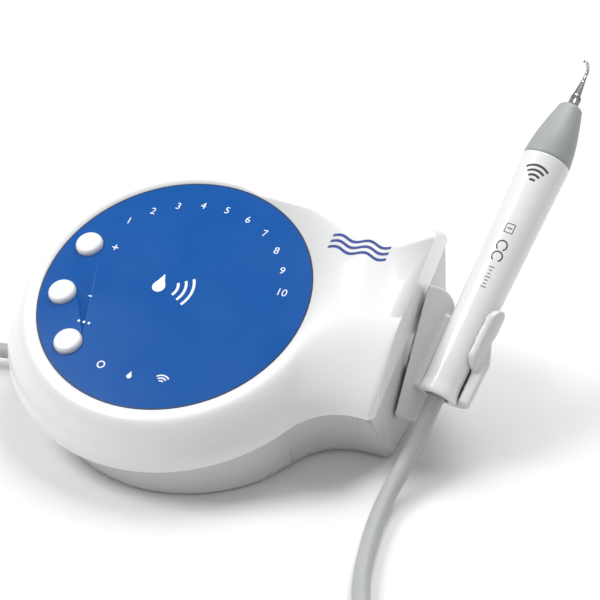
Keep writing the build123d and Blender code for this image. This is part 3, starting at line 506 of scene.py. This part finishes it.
def arc_strip(mesh: bmesh.types.BMesh, centre: tuple, radius: float, width: float,
              start: float, end: float) -> None:
    """Add a flat printed arc to a mesh.

    Args:
        mesh: the print, in the local XY plane.
        centre: the arc's centre.
        radius: its middle radius.
        width: the line's width.
        start: first angle in degrees.
        end: last angle in degrees.
    """
    steps = 20
    first = math.radians(start)
    ends = []
    for reach in (radius - width / 2, radius + width / 2):
        ends.append(mesh.verts.new((
            centre[0] + reach * math.cos(first), centre[1] + reach * math.sin(first), 0.0)))
    edge = mesh.edges.new(ends)
    bmesh.ops.spin(mesh, geom=ends + [edge], cent=(centre[0], centre[1], 0.0), axis=(0, 0, 1),
                   angle=math.radians(end - start), steps=steps)


def bar_print(mesh: bmesh.types.BMesh, centre: tuple, width: float, height: float) -> None:
    """Add a flat printed bar to a mesh.

    Args:
        mesh: the print, in the local XY plane.
        centre: the bar's centre.
        width: its size along X.
        height: its size along Y.
    """
    bar = bmesh.ops.create_grid(mesh, x_segments=4, y_segments=2, size=0.5)["verts"]
    bmesh.ops.scale(mesh, verts=bar, vec=(width, height, 1.0))
    bmesh.ops.translate(mesh, verts=bar, vec=(*centre, 0.0))


def disc_print(mesh: bmesh.types.BMesh, centre: tuple, radius: float) -> None:
    """Add a flat printed dot to a mesh.

    Args:
        mesh: the print, in the local XY plane.
        centre: the dot's centre.
        radius: its radius.
    """
    bmesh.ops.create_circle(mesh, cap_ends=True, segments=24, radius=radius,
                            matrix=Matrix.Translation((centre[0], centre[1], 0.0)))


def droplet(mesh: bmesh.types.BMesh, centre: tuple, height: float) -> None:
    """Add a printed water drop to a mesh: a round bottom drawn out to a point.

    Args:
        mesh: the print, in the local XY plane.
        centre: the middle of the round bottom.
        height: the drop's height.
    """
    radius = height * 0.3
    corners = 36
    sharpness = 6
    waist = 0.55
    verts = []
    for index in range(corners):
        turn = math.tau * index / corners
        pull = max(math.cos(turn), 0.0) ** sharpness
        x = radius * math.sin(turn) * (1.0 - waist * pull)
        y = radius * math.cos(turn) + (height - 2 * radius) * pull
        verts.append(mesh.verts.new((centre[0] + x, centre[1] + y, 0.0)))
    mesh.faces.new(verts)


# ---- console -----------------------------------------------------------------------------------------

@dataclass
class Housing:
    """The two shells of the console and the feet that they stand on."""

    crease: float = 30.0

    def build(self) -> None:
        """Carry both shells over as smooth meshes."""
        install(from_node("upper_housing", "upper_shell", self.crease), "console", Surface.HOUSING,
                "white_abs", "upper_housing")
        install(from_node("lower_housing", "lower_shell", self.crease), "console", Surface.BASE,
                "base_abs", "lower_housing")
        install(from_node("rubber_feet", "feet", self.crease), "console", Surface.RUBBER,
                "rubber", "rubber_feet")


@dataclass
class ControlPanel:
    """The blue film with its figures and signs, the dark line round it, and three push buttons."""

    radius: float = 59.0
    figure_circle: float = 46.3
    first_angle: float = 140.4
    step_angle: float = 14.1
    figure_size: float = 5.0
    mode_circle: float = 44.8
    mode_angles: tuple = (253.0, 271.0, 289.0)
    button_circle: float = 48.5
    button_radius: float = 6.0
    button_proud: float = 2.4
    buttons: dict = field(default_factory=lambda: {"plus": 165.0, "minus": 197.0, "mode": 229.0})
    print_height: float = 0.03
    sign_height: float = 0.05
    line_width: float = 0.7
    line_height: float = 0.02
    sign_size: float = 6.4
    plus_at: tuple = (-34.9, 13.9)
    minus_at: tuple = (-33.6, -12.1)
    dots_at: tuple = (-30.0, -25.6)
    dot_pitch: float = 2.4
    dot_radius: float = 0.6
    drop_at: tuple = (-7.0, 0.0)
    drop_height: float = 9.5
    waves_at: tuple = (-4.6, 0.6)
    deck_waves_at: tuple = (68.0, 41.0)
    deck_waves_size: tuple = (26.0, 1.5)
    deck_waves_pitch: float = 3.2
    deck_waves_swing: float = 1.1
    flange: tuple = (1.2, -2.8, -3.8)
    stem: tuple = (1.8, -5.6)

    def point(self, radius: float, angle: float) -> tuple:
        """A point on a circle round the panel's centre.

        Args:
            radius: the circle's radius.
            angle: the point's place on it, in degrees.

        Returns:
            The point's X and Y in the panel's frame.
        """
        return radius * math.cos(math.radians(angle)), radius * math.sin(math.radians(angle))

    def build(self) -> None:
        """Make the film, its print and the buttons."""
        install(from_node("control_film", "panel_film"), "console", Surface.FILM, "blue_film", "control_film")
        install(self.edge_line(), "console", Surface.FILM_EDGE, "blue_film")
        install(self.figures(), "console", Surface.WHITE_INK, "button_abs")
        install(self.signs(), "console", Surface.WHITE_INK, "button_abs")
        install(self.deck_waves(), "console", Surface.BLUE_INK, "blue_film")
        for name, angle in self.buttons.items():
            piece = self.button_cap(name, angle)
            install(piece, "button_" + name, Surface.BUTTON, "button_abs", "button_" + name)

    def edge_line(self) -> bpy.types.Object:
        """The dark printed line at the film's edge."""
        inner, outer = self.radius - self.line_width, self.radius
        outline = [(inner, 0.0), (inner, self.line_height), (outer, self.line_height), (outer, 0.0)]
        return finish_mesh(spun(outline, 160), "film_edge_line", PANEL_FRAME)

    def figures(self) -> bpy.types.Object:
        """The power figures 1 to 10 round the top of the panel."""
        mesh = bmesh.new()
        for index in range(10):
            x, y = self.point(self.figure_circle, self.first_angle - self.step_angle * index)
            data = text_mesh(str(index + 1), self.figure_size)
            data.transform(Matrix.Translation((x, y, self.print_height)))
            mesh.from_mesh(data)
            bpy.data.meshes.remove(data)
        return finish_mesh(mesh, "power_figures", PANEL_FRAME)

    def signs(self) -> bpy.types.Object:
        """Plus, minus and mode signs, and a plain drop with waves at the panel's centre."""
        mesh = bmesh.new()
        for words, place in (("+", self.plus_at), ("-", self.minus_at)):
            data = text_mesh(words, self.sign_size)
            data.transform(Matrix.Translation((*place, 0.0)))
            mesh.from_mesh(data)
            bpy.data.meshes.remove(data)
        ring, drop, waves = (self.point(self.mode_circle, angle) for angle in self.mode_angles)
        arc_strip(mesh, ring, 1.5, 0.6, 0, 360)
        droplet(mesh, drop, 3.6)
        for wave in range(3):
            arc_strip(mesh, (waves[0], waves[1] - 2.0), 1.2 + 1.3 * wave, 0.65, 45, 135)
        for dot in (-1, 0, 1):
            disc_print(mesh, (self.dots_at[0] + self.dot_pitch * dot, self.dots_at[1]), self.dot_radius)
        droplet(mesh, self.drop_at, self.drop_height)
        for wave in range(3):
            arc_strip(mesh, self.waves_at, 6.0 + 3.4 * wave, 1.2, -32, 32)
        bmesh.ops.translate(mesh, verts=mesh.verts, vec=(0, 0, self.sign_height))
        return finish_mesh(mesh, "panel_signs", PANEL_FRAME)

    def deck_waves(self) -> bpy.types.Object:
        """Three plain printed waves on the block, laid down onto the shell's surface."""
        mesh = bmesh.new()
        steps = 48
        length, width = self.deck_waves_size
        for row in (-1, 0, 1):
            low = [mesh.verts.new((length * (step / steps - 0.5), 0.0, 0.0)) for step in range(steps + 1)]
            edges = [mesh.edges.new(pair) for pair in zip(low, low[1:])]
            made = bmesh.ops.extrude_edge_only(mesh, edges=edges)["geom"]
            upper = [item for item in made if isinstance(item, bmesh.types.BMVert)]
            bmesh.ops.translate(mesh, verts=upper, vec=(0, width, 0))
            for vert in low + upper:
                swing = self.deck_waves_swing * math.sin(vert.co.x * 2 * math.tau / length)
                vert.co.y += self.deck_waves_pitch * row + swing
        shell = bpy.data.objects["upper_shell"]
        back = PANEL_FRAME.inverted()
        above = 15.0
        for vert in mesh.verts:
            start = PANEL_FRAME @ (vert.co + Vector((*self.deck_waves_at, above)))
            hit, point, _normal, _face = shell.ray_cast(start, -PANEL_NORMAL)
            vert.co = back @ (point if hit else start) + Vector((0, 0, self.sign_height))
        return finish_mesh(mesh, "deck_waves", PANEL_FRAME, 60)

    def button_cap(self, name: str, angle: float) -> bpy.types.Object:
        """A round cap with a soft edge and a slightly dished top.

        Args:
            name: the button's name.
            angle: its place round the panel, in degrees.

        Returns:
            The cap, with its flange and stem.
        """
        x, y = self.point(self.button_circle, angle)
        flange_width, flange_top, flange_foot = self.flange
        stem_radius, stem_foot = self.stem
        top = softened([
            (0.0, self.button_proud - 0.35),
            (self.button_radius * 0.55, self.button_proud - 0.12),
            (self.button_radius - 1.0, self.button_proud),
            (self.button_radius, self.button_proud - 1.1),
            (self.button_radius, flange_top),
        ], 1.6, 6)
        profile = top + [
            (self.button_radius + flange_width, flange_top),
            (self.button_radius + flange_width, flange_foot),
            (stem_radius, flange_foot),
            (stem_radius, stem_foot),
            (0.0, stem_foot),
        ]
        mesh = spun(profile, 72)
        bmesh.ops.translate(mesh, verts=mesh.verts, vec=(x, y, 0))
        return finish_mesh(mesh, "cap_" + name, PANEL_FRAME, 40)


# ---- handpiece ------------------------------------------------------------------------------------------

@dataclass
class Handpiece:
    """The sleeve, nose and hooked tip."""

    barrel_length: float = 111.0
    tail_radius: float = 7.65
    nose_radius: float = 10.7
    flare_radius: float = 8.4
    wall: float = 1.6
    recess_radius: float = 5.4
    recess_depth: float = 6.0
    nose_length: float = 27.0
    nose_end_radius: float = 5.3
    nose_mouth: float = 4.45
    print_middle: float = 88.0
    print_turn: float = -80.0
    print_height: float = 0.03
    box_at: float = -13.0
    box_size: tuple = (3.6, 4.0)
    box_line: float = 0.35
    ring_places: tuple = (-21.0, -26.0)
    ring_radius: float = 2.2
    scale_top: float = -31.0
    scale_pitch: float = 1.5
    scale_lines: int = 7

    def radius_at(self, height: float) -> float:
        """The sleeve's outer radius.

        Args:
            height: distance from the sleeve's tail.

        Returns:
            The radius there.
        """
        return self.tail_radius + (self.nose_radius - self.tail_radius) * height / self.barrel_length

    def build(self) -> None:
        """Make the outer pieces and their print."""
        install(self.sleeve(), "handpiece", Surface.SLEEVE, "barrel_white", "handpiece_barrel")
        install(self.nose(), "handpiece", Surface.NOSE, "nose_grey", "nose_cone")
        install(from_node("scaler_tip", "hooked_tip"), "handpiece", Surface.TIP, "tip_steel", "scaler_tip")
        install(self.sleeve_print(), "handpiece", Surface.GREY_INK, "black_plastic")

    def sleeve(self) -> bpy.types.Object:
        """The long tapered sleeve with a flared, rolled tail."""
        outside = softened([
            (self.recess_radius, 0.0),
            (self.flare_radius - 0.3, 0.0),
            (self.flare_radius - 0.05, 1.4),
            (self.radius_at(6.0), 6.0),
            (self.nose_radius - 0.02, self.barrel_length - 0.4),
            (self.nose_radius - 0.4, self.barrel_length),
            (self.nose_radius - self.wall, self.barrel_length),
        ], 1.2, 6)
        inside = [
            (self.nose_radius - self.wall, self.barrel_length),
            (self.tail_radius - self.wall, self.recess_depth + 2),
            (self.recess_radius, self.recess_depth),
        ]
        return finish_mesh(spun(outside + inside[1:], 128), "sleeve", HANDPIECE_FRAME, 40)

    def nose(self) -> bpy.types.Object:
        """The nose: a cone that bows slightly, with a light seam to the sleeve."""
        start = self.barrel_length + 0.1
        end = start + self.nose_length
        outside = softened([
            (self.nose_radius - self.wall, start),
            (self.nose_radius - 0.35, start),
            (self.nose_radius - 0.2, start + 1.2),
            (9.6, start + 9.0),
            (7.6, start + 18.0),
            (self.nose_end_radius, end - 0.8),
            (self.nose_end_radius - 0.7, end),
            (self.nose_mouth, end),
        ], 6.0, 8)
        inside = [(self.nose_mouth, end - 5), (5.2, end - 8), (7.0, start + 10)]
        return finish_mesh(spun(outside + inside, 128), "nose", HANDPIECE_FRAME, 40)

    def sleeve_print(self) -> bpy.types.Object:
        """Plain marks wrapped to the sleeve: waves, a box, two open rings and a scale."""
        mesh = bmesh.new()
        for wave in range(4):
            arc_strip(mesh, (0.0, 8.0), 2.0 + 2.2 * wave, 1.0, 55, 125)
        width, height = self.box_size
        for side in (1, -1):
            bar_print(mesh, (0.0, self.box_at + side * height / 2), width, self.box_line)
            bar_print(mesh, (side * width / 2, self.box_at), self.box_line, height)
        bar_print(mesh, (0.0, self.box_at), 2.0, 0.5)
        for place in self.ring_places:
            arc_strip(mesh, (0.0, place), self.ring_radius, 0.6, -60, 240)
        for line in range(self.scale_lines):
            long_line = line % 3 == 0
            bar_print(mesh, (0.0, self.scale_top - self.scale_pitch * line), 2.4 if long_line else 1.4, 0.35)
        for vert in mesh.verts:
            height = self.print_middle + vert.co.y
            radius = self.radius_at(height) + self.print_height
            angle = math.radians(self.print_turn) + vert.co.x / radius
            vert.co = (radius * math.cos(angle), radius * math.sin(angle), height)
        return finish_mesh(mesh, "sleeve_marks", HANDPIECE_FRAME)


# ---- holder ---------------------------------------------------------------------------------------------

@dataclass
class Holder:
    """The pivoting disc with its trough, moulded in one piece with soft edges."""

    voxel: float = 0.55
    passes: int = 6
    step: float = 0.5

    def build(self) -> None:
        """Remesh the CAD solid finely and soften its edges, as a moulding has them."""
        piece = from_node("holder", "holder_moulding")
        remesh = piece.modifiers.new("remesh", "REMESH")
        remesh.mode = "VOXEL"
        remesh.voxel_size = self.voxel * MM
        bpy.context.view_layer.update()
        graph = bpy.context.evaluated_depsgraph_get()
        dense = bpy.data.meshes.new_from_object(piece.evaluated_get(graph))
        piece.modifiers.clear()
        piece.data = dense
        mesh = bmesh.new()
        mesh.from_mesh(dense)
        for _ in range(self.passes):
            bmesh.ops.smooth_vert(
                mesh, verts=mesh.verts, factor=self.step, use_axis_x=True, use_axis_y=True, use_axis_z=True)
        mesh.to_mesh(dense)
        mesh.free()
        shade(piece, 60)
        install(piece, "holder", Surface.HOLDER, "holder_abs", "holder")


# ---- cord -----------------------------------------------------------------------------------------------

@dataclass
class Cord:
    """The silicone cord from the handpiece's tail over the table and a neat coil to the gland."""

    radius: float = 3.5
    stub: float = 12.0
    lie: float = 3.6
    coil_centre: tuple = (100.0, -161.0)
    coil_rings: tuple = ((47.0, 0), (40.0, 0), (33.0, 0), (36.5, 1), (43.5, 1))
    coil_base: float = 0.9
    coil_layer: float = 7.05
    coil_start: float = 15.0
    # Each ring keeps its radius for this share of a turn, then eases over to the next ring's.
    coil_keeps: float = 0.75
    on_floor: tuple = (106.9, -31.0, 5.2)
    leaving_height: float = 9.5
    gland_height: float = 9.5

    def line_mesh(self, points: Iterable[Vector], thickness: float) -> bpy.types.Mesh:
        """The mesh of a smooth NURBS line with the route's points as its control points.

        Args:
            points: control points in the drawing frame, in millimetres.
            thickness: the cord's radius in metres, or 0 for the bare line.

        Returns:
            A round tube, or a chain of vertices along the line.
        """
        data = bpy.data.curves.new("cord_line", "CURVE")
        data.dimensions = "3D"
        data.resolution_u = 10
        data.bevel_depth = thickness
        data.bevel_resolution = 6
        data.use_fill_caps = True
        spline = data.splines.new("NURBS")
        route = [placed(*point) for point in points]
        spline.points.add(len(route) - 1)
        for target, point in zip(spline.points, route):
            target.co = (*point, 1.0)
        spline.order_u = 3
        spline.use_endpoint_u = True
        line = bpy.data.objects.new("cord_line", data)
        bpy.context.scene.collection.objects.link(line)
        bpy.context.view_layer.update()
        mesh = bpy.data.meshes.new_from_object(line)
        bpy.data.objects.remove(line)
        bpy.data.curves.remove(data)
        return mesh

    def tube(self, name: str, points: Sequence[Vector]) -> bpy.types.Object:
        """A round cord as a mesh tube along a route, in its finish.

        Args:
            name: the piece's name.
            points: control points in the drawing frame, in millimetres.

        Returns:
            The tube.
        """
        mesh = bmesh.new()
        mesh.from_mesh(self.line_mesh(points, self.radius * MM))
        piece = finish_mesh(mesh, name, Matrix.Identity(4), 50)
        Surface.CORD.dress(piece)
        return piece

    def on_axis(self, distance: float) -> Vector:
        """A point on the handpiece's axis.

        Args:
            distance: how far from its tail, towards the tip, in millimetres.

        Returns:
            The point in the drawing frame.
        """
        return TAIL + AXIS_WAY * distance

    def coil_points(self) -> list:
        """The turns of the coil, from where the lead comes in to where the return leaves."""
        points = []
        steps = 14
        first = math.radians(self.coil_start)
        height = self.coil_base + self.radius
        count = len(self.coil_rings)
        for ring, (radius, layer) in enumerate(self.coil_rings):
            following = self.coil_rings[min(ring + 1, count - 1)]
            for step in range(steps):
                t = step / steps
                ease = max(0.0, (t - self.coil_keeps) / (1.0 - self.coil_keeps))
                here = radius + (following[0] - radius) * ease
                level = layer + (following[1] - layer) * ease
                angle = first - math.tau * t
                points.append(Vector((
                    self.coil_centre[0] + here * math.cos(angle),
                    self.coil_centre[1] + here * math.sin(angle),
                    height + self.coil_layer * level)))
        return points

    def main_points(self) -> list:
        """The whole route from the junction below the tail to the gland."""
        lead = [
            self.on_axis(-self.stub),
            self.on_axis(-28.5),
            Vector(self.on_floor),
            Vector((109.0, -52.0, self.lie)),
            Vector((114.5, -78.0, self.lie)),
            Vector((127.0, -102.0, self.lie)),
            Vector((143.0, -122.0, self.lie)),
        ]
        leaving = [
            Vector((134.0, -200.0, self.leaving_height)),
            Vector((114.0, -213.0, 5.0)),
            Vector((94.0, -216.0, self.lie)),
            Vector((62.0, -215.0, self.lie)),
            Vector((22.0, -206.0, self.lie)),
            Vector((-18.0, -186.0, self.lie)),
            Vector((-55.0, -156.0, self.lie)),
            Vector((-85.0, -117.0, self.lie)),
            Vector((-105.0, -75.0, self.lie)),
            Vector((-112.0, -41.0, self.lie + 0.6)),
            Vector((-109.0, -19.0, self.lie + 2.4)),
            Vector((-98.0, -8.0, 7.7)),
            Vector((-82.0, -5.0, self.gland_height)),
            Vector((-59.0, -5.0, self.gland_height)),
        ]
        return lead + self.coil_points() + leaving

    def build(self) -> None:
        """Make the short piece at the tail, the long run with its coil, and what holds them."""
        depths = (3.9, 0.0, -6.0, -self.stub)
        stub = self.tube("cord_at_tail", [self.on_axis(depth) for depth in depths])
        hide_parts("cord_stub")
        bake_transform(stub)
        tie = install(from_node("coil_tie", "coil_strap"), "console", Surface.STRAP,
                      "black_plastic", "coil_tie")
        gland = install(from_node("cord_gland", "gland"), "console", Surface.GREY_PLASTIC,
                        "rubber", "cord_gland")
        points = self.main_points()
        main = self.tube("cord_main", points)
        path = [tuple(vert.co) for vert in self.line_mesh(points, 0.0).vertices]
        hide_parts("cord_lead", "cord_coil", "cord_return")
        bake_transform(main)
        LOG.info("cord of %d points", len(path))


# ---- fittings that keep their CAD shape -----------------------------------------------------------------

@dataclass
class Fittings:
    """Everything else: carried over from the CAD with its real finish."""

    smooth: tuple = (
        "rear_plate", "foot_switch_socket", "power_socket", "rocker_frame", "power_rocker", "water_inlet",
        "water_knob", "plate_screws", "housing_screws", "light_guide", "transducer_horn")
    finishes: dict = field(default_factory=lambda: {
        "rear_plate": Surface.GREY_PLASTIC, "foot_switch_socket": Surface.DARK_PLASTIC,
        "power_socket": Surface.DARK_PLASTIC, "rocker_frame": Surface.DARK_PLASTIC,
        "power_rocker": Surface.DARK_PLASTIC, "water_inlet": Surface.BRASS,
        "water_knob": Surface.GREY_PLASTIC,
        "plate_screws": Surface.STEEL, "housing_screws": Surface.STEEL, "light_guide": Surface.CLEAR,
        "transducer_horn": Surface.TITANIUM, "display_board": Surface.BOARD, "main_board": Surface.BOARD,
        "led_board": Surface.BOARD, "indicator_leds": Surface.CLEAR, "button_switches": Surface.DARK_PLASTIC,
        "control_chip": Surface.DARK_PLASTIC, "power_transistors": Surface.DARK_PLASTIC,
        "display_screws": Surface.STEEL, "main_board_screws": Surface.STEEL, "holder_screw": Surface.STEEL,
        "socket_pins": Surface.BRASS, "water_filter": Surface.GREY_PLASTIC, "solenoid_valve": Surface.BRASS,
        "solenoid_coil": Surface.COPPER, "solenoid_plunger": Surface.STEEL, "needle_valve": Surface.BRASS,
        "valve_hose": Surface.HOSE, "outlet_hose": Surface.HOSE, "transformer_core": Surface.FERRITE,
        "transformer_winding": Surface.COPPER, "heat_sink": Surface.ALUMINIUM, "capacitors": Surface.SLEEVED,
        "ribbon_cable": Surface.GREY_PLASTIC, "friction_washer": Surface.NYLON, "back_mass": Surface.STEEL,
        "piezo_rings": Surface.CERAMIC, "electrodes": Surface.BRASS, "stack_bolt": Surface.STEEL,
        "seal_rings": Surface.RUBBER, "cord_connector": Surface.GREY_PLASTIC, "connector_pins": Surface.BRASS,
        "connector_socket": Surface.NYLON,
    })

    def build(self) -> None:
        """Dress every remaining node, the visible round ones as smooth copies."""
        slots = {part["node"]: part["material_slot"] for part in frame["record"]["subparts"]}
        for body, members in frame["record"]["behaviour"]["bodies"].items():
            for node in members:
                if node not in self.finishes:
                    continue
                if node in self.smooth:
                    install(from_node(node, node + "_smooth"), body, self.finishes[node], slots[node], node)
                else:
                    self.finishes[node].dress(frame["nodes"][node])


# ---- studio ----------------------------------------------------------------------------------------------

@dataclass
class Studio:
    """A pale floor, soft light and the camera."""

    azimuth: float = 23.18
    elevation: float = 32.92
    lens: float = 81.0
    camera_at: tuple = (236.3, -417.3, 363.5)
    world_light: float = 0.4
    # Each soft box: its name, where it hangs, what it faces, its side in millimetres and its watts.
    lamps: tuple = (
        ("key", (-650.0, -250.0, 900.0), (10.0, 0.0, 30.0), 450.0, 6.4),
        ("top", (150.0, 450.0, 900.0), (20.0, 20.0, 30.0), 600.0, 6.2))
    floor_half: float = 4000.0

    def build(self) -> None:
        """Set up floor, world, lamps and camera."""
        self.floor()
        bpy.context.scene.view_settings.view_transform = "Standard"
        world = bpy.data.worlds.new("studio")
        world.use_nodes = True
        background = world.node_tree.nodes["Background"]
        background.inputs["Color"].default_value = (1.0, 1.0, 1.0, 1.0)
        background.inputs["Strength"].default_value = self.world_light
        bpy.context.scene.world = world
        for values in self.lamps:
            self.lamp(*values)
        camera = bpy.data.cameras.new("camera")
        camera.lens = self.lens
        camera.sensor_width = 36.0
        camera.clip_start = 0.01
        viewer = bpy.data.objects.new("camera", camera)
        viewer.location = placed(*self.camera_at)
        viewer.rotation_euler = (math.radians(90.0 - self.elevation), 0.0, math.radians(self.azimuth))
        bpy.context.scene.collection.objects.link(viewer)
        bpy.context.scene.camera = viewer

    def floor(self) -> None:
        """A large pale floor that faces up."""
        mesh = bmesh.new()
        bmesh.ops.create_grid(mesh, x_segments=2, y_segments=2, size=self.floor_half)
        ground = finish_mesh(mesh, "floor", Matrix.Scale(MM, 4))
        if any(polygon.normal.z < 0 for polygon in ground.data.polygons):
            ground.data.flip_normals()
        Surface.FLOOR.dress(ground)

    def lamp(self, name: str, place: tuple, target: tuple, size: float, power: float) -> None:
        """A square soft box.

        Args:
            name: the lamp's name.
            place: where it hangs, in the drawing frame.
            target: the point that it faces.
            size: its side in millimetres.
            power: its power in watts.
        """
        light = bpy.data.lights.new(name, "AREA")
        light.size = size * MM
        light.energy = power
        holder = bpy.data.objects.new(name, light)
        holder.location = placed(*place)
        way = placed(*target) - holder.location
        holder.rotation_euler = way.to_track_quat("-Z", "Y").to_euler()
        bpy.context.scene.collection.objects.link(holder)


def main() -> None:
    """Build every sub-assembly."""
    logging.basicConfig(level=logging.INFO, format="%(message)s")
    for part in (Studio(), Cord(), Housing(), ControlPanel(), Handpiece(), Holder(), Fittings()):
        part.build()
        LOG.info("built %s", type(part).__name__)
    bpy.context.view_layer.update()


if __name__ == "__main__":
    main()
